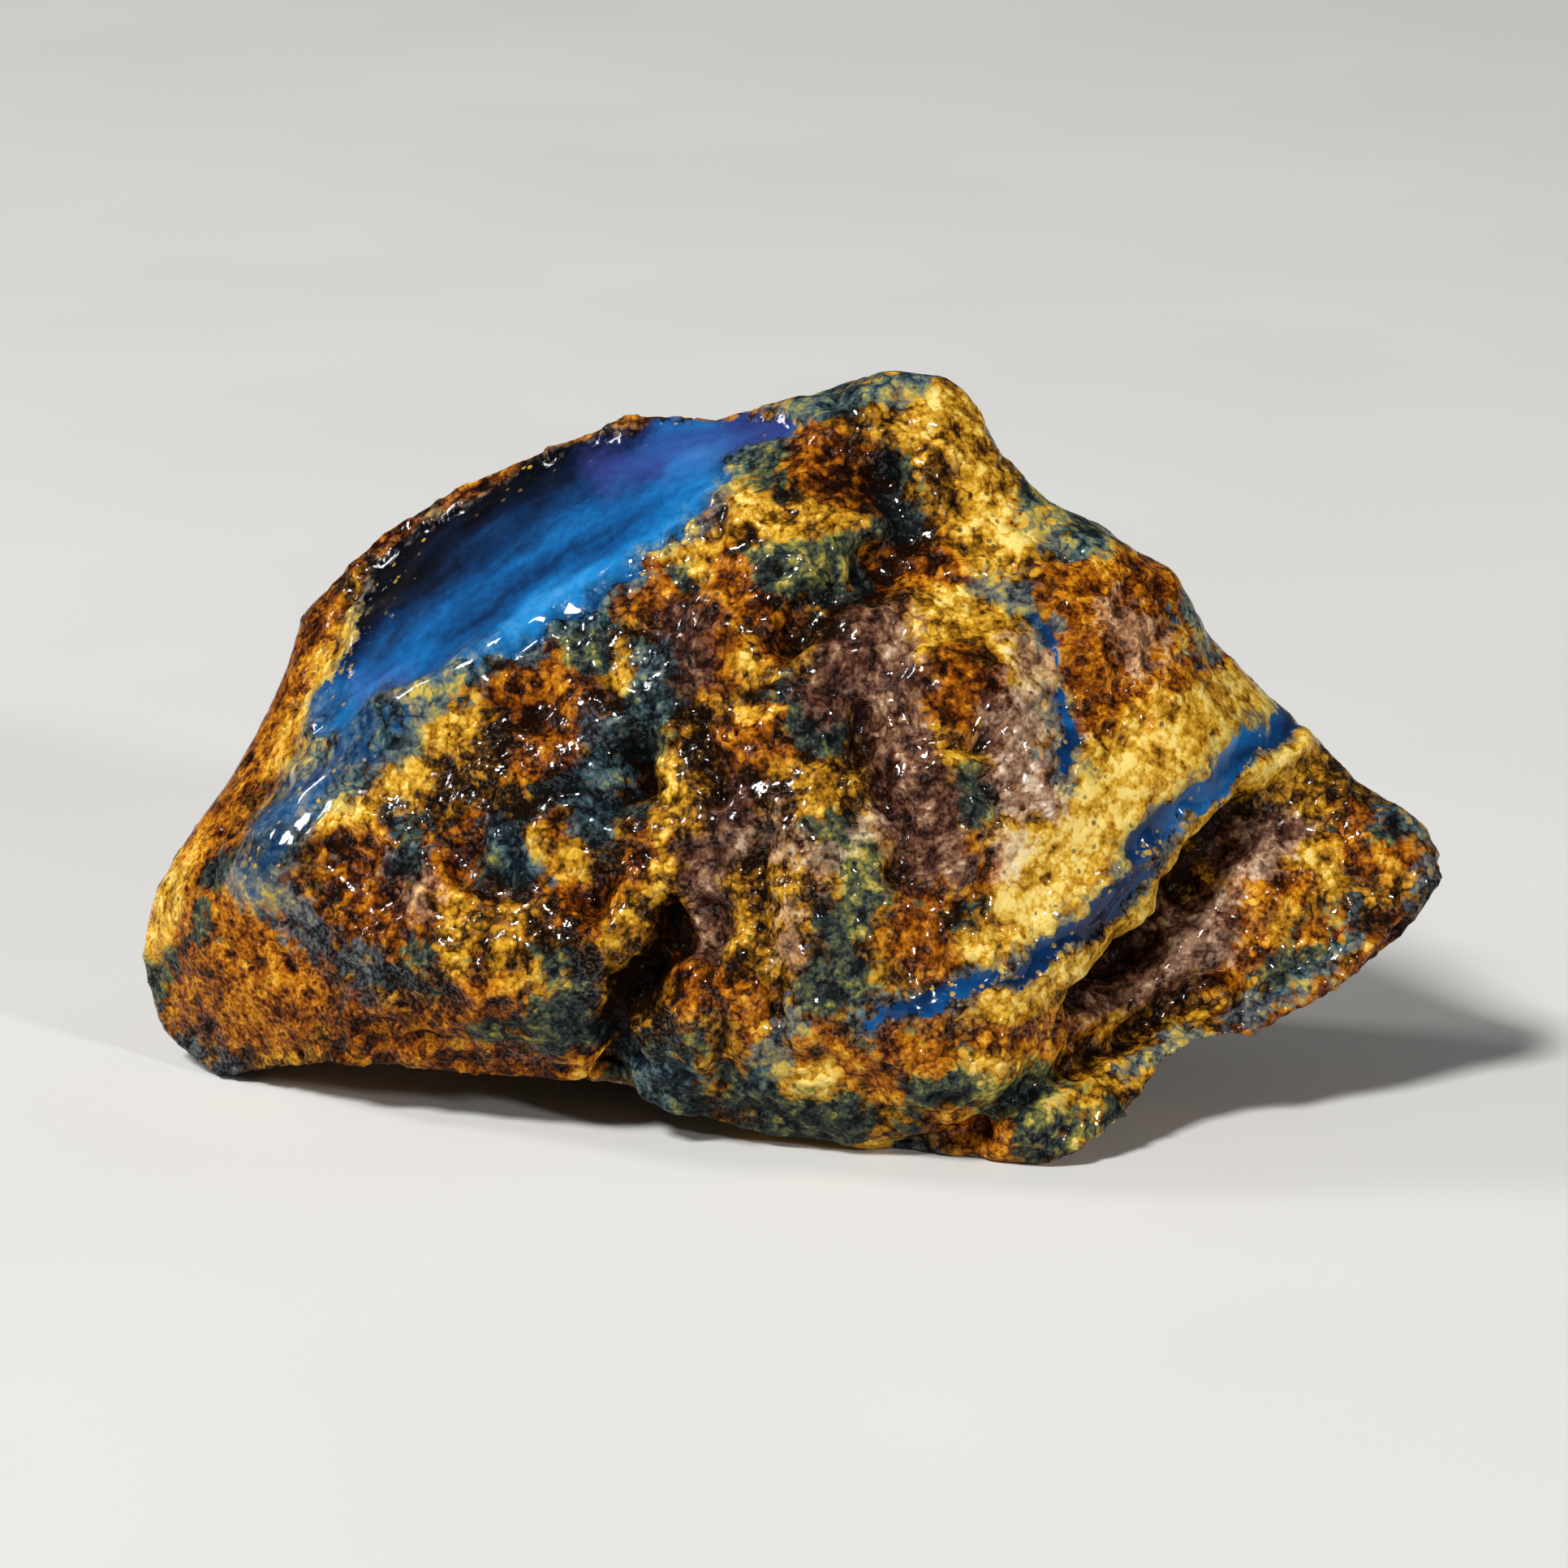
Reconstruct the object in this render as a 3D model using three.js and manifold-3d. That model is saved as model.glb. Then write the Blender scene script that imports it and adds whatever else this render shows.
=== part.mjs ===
// A rough piece of blue amber as it was dug: one natural solid, worn flat where it rests.
// Its broad front face is rough crust, a glossy window of bare amber leans back behind the upper left
// ridge, and a shelf with a blue vein stands out over a cleft and a recess at the lower right.
import * as THREE from "three";
import { mergeVertices } from "three/addons/utils/BufferGeometryUtils.js";
import Module from "manifold-3d";

// Driving dimensions, in millimetres and degrees.
// The piece is laid out as seen from the front: a is to the right, b is up and depth is towards the
// viewer, who stands VIEW_DISTANCE away and looks down by VIEW_ELEVATION at the point ORIGIN.
const VIEW_ELEVATION = 15;
const VIEW_DISTANCE = 400;
const ORIGIN = [-0.1, -3.57, 20.2];

// The front and the back are two sheets that meet at the outline. How round the rim between them is, how
// thick the piece is at least, how wide its flat sides blend, and how far the underside is sunk into the
// ground before it is worn flat.
const FULLNESS = 0.85;
const RIM_ROUNDNESS = 6;
const LEAST_THICKNESS = 2;
const FACET_BLEND = 1.1;
const GROUND_SKIN = 0.6;
const WORN_BLOCK = { width: 120, depth: 20 };

// The triangles: how finely the sphere that they start from is divided, the power that shares them out
// between front and back, how they are evened out, and how steep steps between them are eased.
const SPHERE_DETAIL = 21;
const FRONT_SHARE = 1.12;
const FRONT_LIMIT = -0.1;
const RELAX_ROUNDS = 14;
const RELAX_STEP = 0.6;
const EASE_ROUNDS = 2;
const EASE_STEP = 0.5;
const RIM_FADE = 12;
const MERGE_TOLERANCE = 1e-4;

// The outline, anticlockwise from the right-hand tip.
const OUTLINE = [
  [40.9, -4.9], [39.9, -3.1], [37.3, -1.0], [34.8, 0.5], [32.5, 2.4], [31.4, 4.2], [29.6, 5.6],
  [28.0, 7.3], [26.1, 9.2], [25.0, 11.2], [23.7, 13.1], [20.9, 14.8], [19.2, 16.0], [17.0, 16.8],
  [15.2, 18.0], [14.4, 19.4], [13.3, 20.3], [12.4, 22.1], [11.5, 23.6], [10.6, 24.9], [8.6, 25.4],
  [5.4, 25.1], [2.2, 24.1], [-1.4, 23.1], [-4.6, 22.4], [-7.4, 23.0], [-10.2, 22.6], [-14.8, 20.8],
  [-19.4, 18.5], [-23.8, 16.1], [-26.6, 13.3], [-29.7, 10.4], [-30.4, 8.0], [-31.9, 4.4],
  [-34.2, 0.3], [-36.9, -3.6], [-38.9, -7.1], [-39.95, -10.0], [-39.2, -12.7], [-38.4, -15.6],
  [-36.9, -17.6], [-34.8, -18.7], [-32.0, -18.5], [-29.0, -17.7], [-25.4, -17.2], [-23.0, -17.8],
  [-20.5, -18.3], [-15.0, -18.5], [-9.8, -18.9], [-7.5, -20.1], [-4.3, -21.0], [-0.5, -22.0],
  [3.5, -22.5], [7.6, -24.0], [12.5, -24.5], [16.0, -24.0], [19.6, -22.1], [21.7, -20.0],
  [23.4, -17.4], [26.4, -15.9], [28.3, -15.9], [33.2, -13.5], [38.0, -9.8], [40.3, -6.9],
];

// Flat sides. Each passes through a point [a, b, depth] and changes depth by its slopes per mm of a and b.
const FRONT_FACETS = [
  { name: "left face", at: [0, 0, 12], slope: [0.3, -0.19] },
  { name: "upper face", at: [0, 0, 13.5], slope: [0, -0.45] },
  { name: "right face", at: [15, 0, 10], slope: [-0.4, -0.05] },
  { name: "lower face", at: [0, 0, 15], slope: [0, 0.12] },
  { name: "window", at: [-13.3, 12.8, 5.6], slope: [0.98, -1.26] },
  { name: "window top", at: [-4.3, 18.3, 5.3], slope: [0.75, -1.44] },
  { name: "left flank", at: [-33.2, -5, 3], slope: [1.66, -1.22] },
  { name: "left knob", at: [-33, -5, 3], slope: [1.3, 0.63] },
  { name: "bottom curl", at: [-20, -14, 8], slope: [0.35, 1.2] },
];
const BACK_FACETS = [
  { name: "back", at: [0, 0, -20], slope: [0.1, 0.55] },
  { name: "back left", at: [-38, 0, -12], slope: [-0.9, 0.2] },
  { name: "back right", at: [40, 0, -7], slope: [0.68, 0.15] },
  { name: "back top", at: [7, 25, -3], slope: [0.1, 1.2] },
];

// The shelf's edge, from the right-hand outline down to where it dies out, and the drop beyond it.
const SHELF = {
  path: [
    [34.5, 3.6], [32, 2.2], [29.5, 0.5], [27, -1.5], [25, -3.2], [23.5, -5.5], [22.2, -8.4],
    [19.6, -10.0], [17.5, -12.2], [15.5, -13.7], [12.5, -15.2],
  ],
  drop: 4.2,
  edge: 2.0,
  reach: 11,
  floor: 0.3,
  startShare: 0.25,
  startFade: 6,
  endFade: 4,
};

// Creases and ribs along paths: the half width, and the height, which is negative for a crease.
const CREASES = [
  {
    name: "cleft under the shelf", width: 2.0, height: -1.6,
    path: [[27.5, -3.4], [25.4, -6.0], [23.8, -9.0], [21, -11.2]],
  },
  {
    name: "deep crevice", width: 2.0, height: -2.2,
    path: [[-6.6, -8.6], [-8.4, -11.6], [-9.9, -14.2], [-10.7, -18.5]],
  },
  {
    name: "upper cleft", width: 1.7, height: -1.8,
    path: [[6.4, 18.5], [7.3, 15.2], [4.6, 12.4], [2.4, 10.9], [0.6, 9.0]],
  },
  {
    name: "middle cleft", width: 1.5, height: -1.3,
    path: [[4.9, 4.5], [4.7, 1.2], [6.4, -1.2], [7.7, -3.4], [7.2, -5.6]],
  },
  {
    name: "left pit run", width: 1.6, height: -1.3,
    path: [[-9.0, 2.6], [-9.0, -0.6], [-9.6, -4.2], [-12.4, -7.4]],
  },
  {
    name: "upright crack", width: 1.5, height: -0.9,
    path: [[-5.9, 5.4], [-4.8, 2.0], [-4.1, -0.4]],
  },
  {
    name: "slab foot", width: 1.5, height: -1.1,
    path: [[-1.0, -2.6], [-1.6, -6.0], [-1.2, -10.5], [-0.6, -14.4]],
  },
  {
    name: "lower crease", width: 1.5, height: -1.4,
    path: [[27, -12.2], [23.6, -13.8], [19.6, -16.2], [15.6, -18.6], [11.8, -21.2], [7.0, -22.9]],
  },
  {
    name: "vein hollow", width: 1.5, height: -0.8,
    path: [[13, 12.2], [15.8, 10.2], [17.2, 7.0], [17.5, 3.0], [17.7, 0.0]],
  },
  {
    name: "knob valley", width: 2.4, height: -2.0,
    path: [[-31, -8.6], [-27.6, -11.6], [-25.4, -14.4], [-24.8, -18.5]],
  },
  {
    name: "shelf rim", width: 1.8, height: 0.8,
    path: [[31, 2.4], [27.5, -0.4], [24, -3.6], [22.4, -7.0], [19, -9.8], [15.5, -12.6]],
  },
  {
    name: "left ridge", width: 1.7, height: 0.6,
    path: [[-32.6, -5.2], [-29.4, -1.2], [-25.4, 2.8], [-19.6, 6.6], [-13, 11.6]],
  },
  {
    name: "slab edge", width: 1.4, height: 0.7,
    path: [[0.2, -3.0], [-0.2, -6.4], [0.3, -10.8], [0.8, -14.4]],
  },
  {
    name: "upper rib", width: 1.5, height: 1.0,
    path: [[1.2, 13.0], [4.4, 14.6], [6.2, 16.4]],
  },
  {
    name: "foot rib", width: 1.6, height: 0.8,
    path: [[13.6, -17.2], [10.4, -19.6], [6.0, -21.2], [0.5, -20.0]],
  },
];

// Rounded lumps and pits: the centre, the two half widths, the turn of the first, and the height.
const LUMPS = [
  { name: "brown dome", at: [10.6, 6.4], size: [4.0, 3.6], turn: 0, height: 1.5 },
  { name: "wrinkled lobe", at: [15.0, 1.8], size: [2.3, 4.2], turn: 0, height: 1.3 },
  { name: "pebble", at: [-2.8, -2.4], size: [1.9, 1.6], turn: -20, height: 1.6 },
  { name: "speckled slab", at: [2.8, -5.4], size: [2.8, 3.4], turn: 0, height: 1.1 },
  { name: "top boss", at: [10.4, 21.2], size: [3.2, 3.0], turn: -40, height: 1.2 },
  { name: "yellow boss", at: [-2.2, 16.4], size: [2.6, 2.0], turn: 10, height: 1.2 },
  { name: "right cheek", at: [22.0, 8.6], size: [4.0, 4.4], turn: 30, height: 0.9 },
  { name: "left cheek", at: [-22.5, -1.5], size: [6.5, 5.5], turn: 30, height: 1.0 },
  { name: "toe", at: [14.2, -21.6], size: [5.0, 2.2], turn: 20, height: 1.2 },
  { name: "middle toe", at: [-5.2, -17.6], size: [3.2, 2.6], turn: 0, height: 1.1 },
  { name: "recess boss", at: [29.4, -6.8], size: [2.6, 2.2], turn: -20, height: 1.4 },
  { name: "recess shoulder", at: [25.0, -10.4], size: [3.0, 2.2], turn: 30, height: 1.3 },
  { name: "knob", at: [-35.0, -11.5], size: [4.5, 4.5], turn: 0, height: 1.6 },
  { name: "under shelf pit", at: [26.0, -4.6], size: [2.2, 2.8], turn: -35, height: -1.0 },
  { name: "orange pit", at: [-8.6, 12.6], size: [1.8, 1.6], turn: 0, height: -1.2 },
  { name: "rust pit", at: [-14.6, 6.0], size: [2.2, 2.0], turn: 30, height: -1.1 },
  { name: "left pit", at: [-26.0, -6.2], size: [2.2, 2.0], turn: 0, height: -1.0 },
  { name: "middle hollow", at: [-14.2, -3.0], size: [1.8, 1.5], turn: 0, height: -1.0 },
  { name: "top hollow", at: [4.4, 20.2], size: [2.2, 2.0], turn: 0, height: -1.1 },
  { name: "eye pit", at: [-0.6, 5.4], size: [1.8, 1.6], turn: 0, height: -0.9 },
];

// Lumps of the hidden sides and hollows of the underside, as points of the piece itself in mm.
const SIDE_LUMPS = [
  { name: "back shoulder", at: [-14, 14, 24], size: 9, height: 1.8 },
  { name: "back hollow", at: [4, 21, 18], size: 7, height: -2.2 },
  { name: "back heel", at: [14, 20, 8], size: 8, height: 1.4 },
  { name: "back dent", at: [-24, 12, 12], size: 6, height: -1.6 },
  { name: "right dent", at: [28, 8, 20], size: 6, height: -1.4 },
  { name: "crown", at: [6, 6, 42], size: 7, height: 0.8 },
  { name: "underside arch", at: [9, 4, -1], size: 9.5, height: -2.8 },
  { name: "underside hollow", at: [-8, 0, 3], size: 7, height: -1.6 },
];

// The wide bumps of the whole surface, as octaves of smooth noise: the wave length and the height.
const BUMPS = [
  { wave: 11, height: 1.0 },
  { wave: 5.5, height: 0.6 },
  { wave: 2.9, height: 0.3 },
];
// The glossy window is much smoother: its middle line, its half width and the share of bumps it keeps.
const WINDOW = { path: [[-27, 7.5], [-17, 15.5], [-8, 20.5], [0, 22.8]], width: 5.5, edge: 4, bumps: 0.25 };
const HASH = { steps: [127.1, 311.7, 74.7], scale: 43758.5453 };

const AMBER = { color: 0x8a5420, roughness: 0.35, metalness: 0 };

const elevation = THREE.MathUtils.degToRad(VIEW_ELEVATION);
const RIGHT = new THREE.Vector3(1, 0, 0);
const UP = new THREE.Vector3(0, Math.sin(elevation), Math.cos(elevation));
const TOWARDS = new THREE.Vector3(0, -Math.cos(elevation), Math.sin(elevation));

const smoothstep = (t) => {
  const x = Math.min(1, Math.max(0, t));
  return x * x * (3 - 2 * x);
};

// A point of the piece from its place in the view and its depth, with the view's perspective.
function placed(a, b, depth) {
  const shrink = 1 - depth / VIEW_DISTANCE;
  return new THREE.Vector3(...ORIGIN)
    .addScaledVector(RIGHT, a * shrink)
    .addScaledVector(UP, b * shrink)
    .addScaledVector(TOWARDS, depth);
}

// The outline as a closed smooth curve. Its radius at any angle is read off a table, and so is the
// lowest b at a given a, which is where the underside starts.
const RIM_POINTS_PER_SIDE = 8;
const TABLE_STEPS = 1440;
const LOW_STEP = 0.25;
const LOW_INSET = 1e-6;
const rim = new THREE.CatmullRomCurve3(
  OUTLINE.map(([a, b]) => new THREE.Vector3(a, b, 0)), true, "centripetal",
).getPoints(OUTLINE.length * RIM_POINTS_PER_SIDE).slice(0, -1);

function tabled(count, from) {
  return Array.from({ length: count + 1 }, (_, i) => from(i));
}

function valueAt(table, place) {
  const i = Math.min(table.length - 2, Math.max(0, Math.floor(place)));
  return THREE.MathUtils.lerp(table[i], table[i + 1], Math.min(1, Math.max(0, place - i)));
}

const rimRadii = tabled(TABLE_STEPS, (step) => {
  const ray = new THREE.Vector2(1, 0).rotateAround(new THREE.Vector2(), (step / TABLE_STEPS) * 2 * Math.PI);
  for (let i = 0; i < rim.length; i++) {
    const [p, q] = [rim[i], rim[(i + 1) % rim.length]];
    const [before, after] = [ray.x * p.y - ray.y * p.x, ray.x * q.y - ray.y * q.x];
    const ahead = ray.x * (p.x + q.x) + ray.y * (p.y + q.y) > 0;
    if (ahead && before <= 0 && after > 0) {
      return THREE.MathUtils.lerp(p.length(), q.length(), before / (before - after));
    }
  }
  throw new Error("the outline has a gap");
});

const FULL_TURN = 2 * Math.PI;
const turnStep = (angle) => (THREE.MathUtils.euclideanModulo(angle, FULL_TURN) / FULL_TURN) * TABLE_STEPS;
const rimRadius = (angle) => valueAt(rimRadii, turnStep(angle));

const lowestA = Math.min(...rim.map((p) => p.x));
const highestA = Math.max(...rim.map((p) => p.x));
const lows = tabled(Math.ceil((highestA - lowestA) / LOW_STEP), (step) => {
  const a = Math.min(highestA - LOW_INSET, lowestA + LOW_INSET + step * LOW_STEP);
  return Math.min(...rim.map((p, i) => {
    const q = rim[(i + 1) % rim.length];
    const [left, right] = p.x < q.x ? [p, q] : [q, p];
    const spans = a >= left.x && a < right.x;
    return spans ? THREE.MathUtils.lerp(left.y, right.y, (a - left.x) / (right.x - left.x)) : 0;
  }));
});

const facetDepth = ({ at, slope }, a, b) => at[2] + slope[0] * (a - at[0]) + slope[1] * (b - at[1]);

// The least (sign 1) or greatest (sign -1) of several depths, with their meetings rounded off.
function blended(depths, sign) {
  const extreme = Math.min(...depths.map((d) => sign * d));
  const sum = depths.reduce((s, d) => s + Math.exp((extreme - sign * d) / FACET_BLEND), 0);
  return sign * (extreme - FACET_BLEND * Math.log(sum));
}

// How far a point is from a path, on which side (positive on the right hand), and how far along, 0 to 1.
function alongPath(path, a, b) {
  let best = { distance: Infinity };
  for (let i = 0; i + 1 < path.length; i++) {
    const [da, db] = [path[i + 1][0] - path[i][0], path[i + 1][1] - path[i][1]];
    const [pa, pb] = [a - path[i][0], b - path[i][1]];
    const t = Math.min(1, Math.max(0, (pa * da + pb * db) / (da * da + db * db)));
    const distance = Math.hypot(pa - t * da, pb - t * db);
    if (distance < best.distance) {
      best = { distance, side: Math.sign(pa * db - pb * da), along: (i + t) / (path.length - 1) };
    }
  }
  return best;
}

function shelfDrop(a, b) {
  const { distance, side, along } = alongPath(SHELF.path, a, b);
  const beyond = -side * distance;
  const fall = smoothstep(beyond / SHELF.edge / 2 + 0.5);
  const spread = SHELF.floor + (1 - SHELF.floor) * Math.exp(-((Math.max(0, beyond) / SHELF.reach) ** 2));
  const start = SHELF.startShare + (1 - SHELF.startShare) * smoothstep(along * SHELF.startFade);
  const end = smoothstep((1 - along) * SHELF.endFade);
  return -SHELF.drop * fall * spread * start * end;
}

const creaseHeight = ({ path, width, height }, a, b) =>
  height * Math.exp(-((alongPath(path, a, b).distance / width) ** 2));

function lumpHeight({ at, size, turn, height }, a, b) {
  const angle = THREE.MathUtils.degToRad(turn);
  const [pa, pb] = [a - at[0], b - at[1]];
  const u = (pa * Math.cos(angle) + pb * Math.sin(angle)) / size[0];
  const v = (pb * Math.cos(angle) - pa * Math.sin(angle)) / size[1];
  return height * Math.exp(-(u * u + v * v));
}

const frontBase = (a, b) => blended(FRONT_FACETS.map((f) => facetDepth(f, a, b)), 1);

const frontRelief = (a, b) =>
  shelfDrop(a, b) +
  CREASES.reduce((sum, c) => sum + creaseHeight(c, a, b), 0) +
  LUMPS.reduce((sum, l) => sum + lumpHeight(l, a, b), 0);

const frontSheet = (a, b) => frontBase(a, b) + frontRelief(a, b);

const lowDepths = lows.map((low, step) => frontSheet(lowestA + step * LOW_STEP, low));

function backDepth(a, b) {
  const place = (a - lowestA) / LOW_STEP;
  const above = b - valueAt(lows, place);
  const underside = valueAt(lowDepths, place) - GROUND_SKIN - above / Math.tan(elevation);
  return blended([...BACK_FACETS.map((f) => facetDepth(f, a, b)), underside], -1);
}

// The depth of the outline's edge, halfway between the two sheets.
const rimDepths = rimRadii.map((radius, step) => {
  const angle = (step / TABLE_STEPS) * 2 * Math.PI;
  const [a, b] = [radius * Math.cos(angle), radius * Math.sin(angle)];
  const front = frontSheet(a, b);
  return (front + Math.min(front, backDepth(a, b))) / 2;
});

// The surface point for a direction of the unit sphere, whose +Z pole is the middle of the front.
function surfacePoint(direction) {
  const turned = Math.PI * (Math.acos(THREE.MathUtils.clamp(direction.z, -1, 1)) / Math.PI) ** FRONT_SHARE;
  const angle = Math.atan2(direction.y, direction.x);
  const share = Math.sin(turned) ** FULLNESS;
  const radius = rimRadius(angle);
  const [a, b] = [share * radius * Math.cos(angle), share * radius * Math.sin(angle)];
  const rimDepth = valueAt(rimDepths, turnStep(angle));
  const rise = Math.sqrt(Math.max(0, 1 - share ** RIM_ROUNDNESS));
  const front = frontSheet(a, b);
  const back = Math.min(backDepth(a, b), front - LEAST_THICKNESS);
  const sheet = turned < Math.PI / 2 ? front : back;
  return placed(a, b, rimDepth + (sheet - rimDepth) * rise);
}

// Smooth noise from -1 to 1 on a lattice of pseudo-random values.
function lattice(...corner) {
  const value = Math.sin(corner.reduce((sum, c, i) => sum + c * HASH.steps[i], 0)) * HASH.scale;
  return 2 * (value - Math.floor(value)) - 1;
}

function noise(x, y, z) {
  const [ix, iy, iz] = [Math.floor(x), Math.floor(y), Math.floor(z)];
  const [u, v, w] = [smoothstep(x - ix), smoothstep(y - iy), smoothstep(z - iz)];
  const { lerp } = THREE.MathUtils;
  const row = (j, k) => lerp(lattice(ix, iy + j, iz + k), lattice(ix + 1, iy + j, iz + k), u);
  return lerp(lerp(row(0, 0), row(1, 0), v), lerp(row(0, 1), row(1, 1), v), w);
}

// The view coordinates of a point, the inverse of placed().
function inView(point) {
  const offset = point.clone().sub(new THREE.Vector3(...ORIGIN));
  const depth = offset.dot(TOWARDS);
  const shrink = 1 - depth / VIEW_DISTANCE;
  return [offset.dot(RIGHT) / shrink, offset.dot(UP) / shrink, depth];
}

// How far out a place in the view is, 0 in the middle and 1 at the outline.
const rimShare = (a, b) => Math.hypot(a, b) / rimRadius(Math.atan2(b, a));

// The share of a movement that a point makes: none at the outline, so that the outline stays.
function freedom(p) {
  const [a, b] = inView(p);
  return Math.max(0, 1 - rimShare(a, b) ** RIM_FADE);
}

function bumpHeight(p, isFront) {
  const [a, b] = inView(p);
  const away = alongPath(WINDOW.path, a, b).distance / WINDOW.width;
  const inWindow = isFront ? Math.exp(-(away ** WINDOW.edge)) : 0;
  const kept = 1 - (1 - WINDOW.bumps) * inWindow;
  const rough = BUMPS.map(({ wave, height }) => height * noise(p.x / wave, p.y / wave, p.z / wave));
  return kept * rough.reduce((sum, height) => sum + height, 0);
}

function sideHeight(p) {
  return SIDE_LUMPS.reduce((sum, { at, size, height }) => {
    const distance = p.distanceTo(new THREE.Vector3(...at));
    return sum + height * Math.exp(-((distance / size) ** 2));
  }, 0);
}

// The directions drift towards their further neighbours, so that triangles come out of one size.
function relaxed(directions, neighbours) {
  for (let round = 0; round < RELAX_ROUNDS; round++) {
    const points = directions.map(surfacePoint);
    directions = directions.map((direction, i) => {
      const pull = new THREE.Vector3();
      let weight = 0;
      for (const j of neighbours[i]) {
        const length = points[i].distanceTo(points[j]);
        pull.addScaledVector(directions[j], length);
        weight += length;
      }
      return pull.divideScalar(weight).lerp(direction, 1 - RELAX_STEP).normalize();
    });
  }
  return directions;
}

// Steep steps are eased, so that the triangles beside them lie smoothly.
function eased(points, neighbours) {
  for (let round = 0; round < EASE_ROUNDS; round++) {
    points = points.map((point, i) => {
      const middle = new THREE.Vector3();
      neighbours[i].forEach((j) => middle.addScaledVector(points[j], 1 / neighbours[i].size));
      return point.clone().lerp(middle, EASE_STEP * freedom(point));
    });
  }
  return points;
}

function roughBody() {
  const sphere = new THREE.IcosahedronGeometry(1, SPHERE_DETAIL);
  sphere.deleteAttribute("normal");
  sphere.deleteAttribute("uv");
  const geometry = mergeVertices(sphere, MERGE_TOLERANCE);
  const position = geometry.getAttribute("position");
  const start = tabled(position.count - 1, (i) => new THREE.Vector3().fromBufferAttribute(position, i));
  const neighbours = start.map(() => new Set());
  for (let i = 0; i < geometry.index.count; i += 3) {
    const corners = [0, 1, 2].map((k) => geometry.index.getX(i + k));
    corners.forEach((c) => corners.filter((d) => d !== c).forEach((d) => neighbours[c].add(d)));
  }
  const directions = relaxed(start, neighbours);
  const front = directions.map((direction) => direction.z > FRONT_LIMIT);
  eased(directions.map(surfacePoint), neighbours).forEach((p, i) => position.setXYZ(i, ...p.toArray()));
  geometry.computeVertexNormals();
  const normal = geometry.getAttribute("normal");
  for (let i = 0; i < position.count; i++) {
    const p = new THREE.Vector3().fromBufferAttribute(position, i);
    const outward = new THREE.Vector3().fromBufferAttribute(normal, i);
    p.addScaledVector(outward, freedom(p) * (bumpHeight(p, front[i]) + sideHeight(p)));
    position.setXYZ(i, ...p.toArray());
  }
  geometry.deleteAttribute("normal");
  return geometry;
}

// The foot: everything below the surface that the piece rests on is cut away.
async function cutFlat(geometry) {
  const wasm = await Module();
  wasm.setup();
  const solid = (g) => new wasm.Manifold(new wasm.Mesh({
    numProp: 3,
    vertProperties: new Float32Array(g.getAttribute("position").array),
    triVerts: new Uint32Array(g.index.array),
  }));
  const { width, depth } = WORN_BLOCK;
  const block = new THREE.BoxGeometry(width, width, depth).translate(0, 0, -depth / 2);
  block.deleteAttribute("normal");
  block.deleteAttribute("uv");
  const cut = solid(geometry).subtract(solid(mergeVertices(block)));
  const mesh = cut.getMesh();
  const result = new THREE.BufferGeometry();
  const points = new Float32Array(mesh.numVert * 3);
  for (let i = 0; i < mesh.numVert; i++) {
    points.set(mesh.vertProperties.subarray(i * mesh.numProp, i * mesh.numProp + 3), i * 3);
  }
  result.setAttribute("position", new THREE.BufferAttribute(points, 3));
  result.setIndex(new THREE.BufferAttribute(new Uint32Array(mesh.triVerts), 1));
  result.computeVertexNormals();
  return result;
}

const specimen = new THREE.Group();
const amber = new THREE.Mesh(await cutFlat(roughBody()), new THREE.MeshStandardMaterial(AMBER));
amber.name = "amber";
specimen.add(amber);

export default specimen;
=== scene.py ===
import math

import bpy
import numpy as np
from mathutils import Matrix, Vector


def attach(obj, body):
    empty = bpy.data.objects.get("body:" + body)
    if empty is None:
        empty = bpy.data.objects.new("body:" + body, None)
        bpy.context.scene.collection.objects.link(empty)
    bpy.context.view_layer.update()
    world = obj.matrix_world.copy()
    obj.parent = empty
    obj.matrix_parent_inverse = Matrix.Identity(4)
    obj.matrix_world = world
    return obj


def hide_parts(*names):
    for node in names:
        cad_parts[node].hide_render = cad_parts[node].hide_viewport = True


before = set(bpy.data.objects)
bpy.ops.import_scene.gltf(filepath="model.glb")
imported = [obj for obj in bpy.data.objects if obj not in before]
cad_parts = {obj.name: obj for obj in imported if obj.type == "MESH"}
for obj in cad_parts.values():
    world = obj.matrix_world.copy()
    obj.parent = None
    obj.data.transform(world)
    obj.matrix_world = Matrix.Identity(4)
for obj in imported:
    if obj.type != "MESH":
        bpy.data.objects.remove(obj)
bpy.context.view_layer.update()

# The piece is laid out as seen from the front, in millimetres: a is to the right, b is up and depth is
# towards the viewer, who stands VIEW_DISTANCE away and looks down by VIEW_ELEVATION at the point ORIGIN,
# where the picture is VIEW_WIDTH wide.
MM = 0.001
VIEW_ELEVATION = math.radians(15)
VIEW_DISTANCE = 400
VIEW_WIDTH = 96.6
ORIGIN = np.array([-0.1, -3.57, 20.2])
RIGHT = np.array([1.0, 0.0, 0.0])
UP = np.array([0.0, math.sin(VIEW_ELEVATION), math.cos(VIEW_ELEVATION)])
TOWARDS = np.array([0.0, -math.cos(VIEW_ELEVATION), math.sin(VIEW_ELEVATION)])

# The fine surface: the size of its faces in mm, and the rounds of smoothing that take the solid's facets
# away, each a step in and a step back out.
FACE_SIZE = 0.37
SMOOTH_ROUNDS = 12
SMOOTH_IN, SMOOTH_OUT = 0.5, -0.52
# Rounds of blurring for directions, for wearing sharp edges down and for telling hollows from tops.
TURN_ROUNDS = 6
EDGE_ROUNDS = 14
HOLLOW_ROUNDS = 24
# How far the finished points are drawn to their neighbours, as a share.
SETTLING = 0.3
# How far to each side of the outline the front's markings blend into those of the hidden sides.
FRONT_BLEND = 0.12
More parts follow.
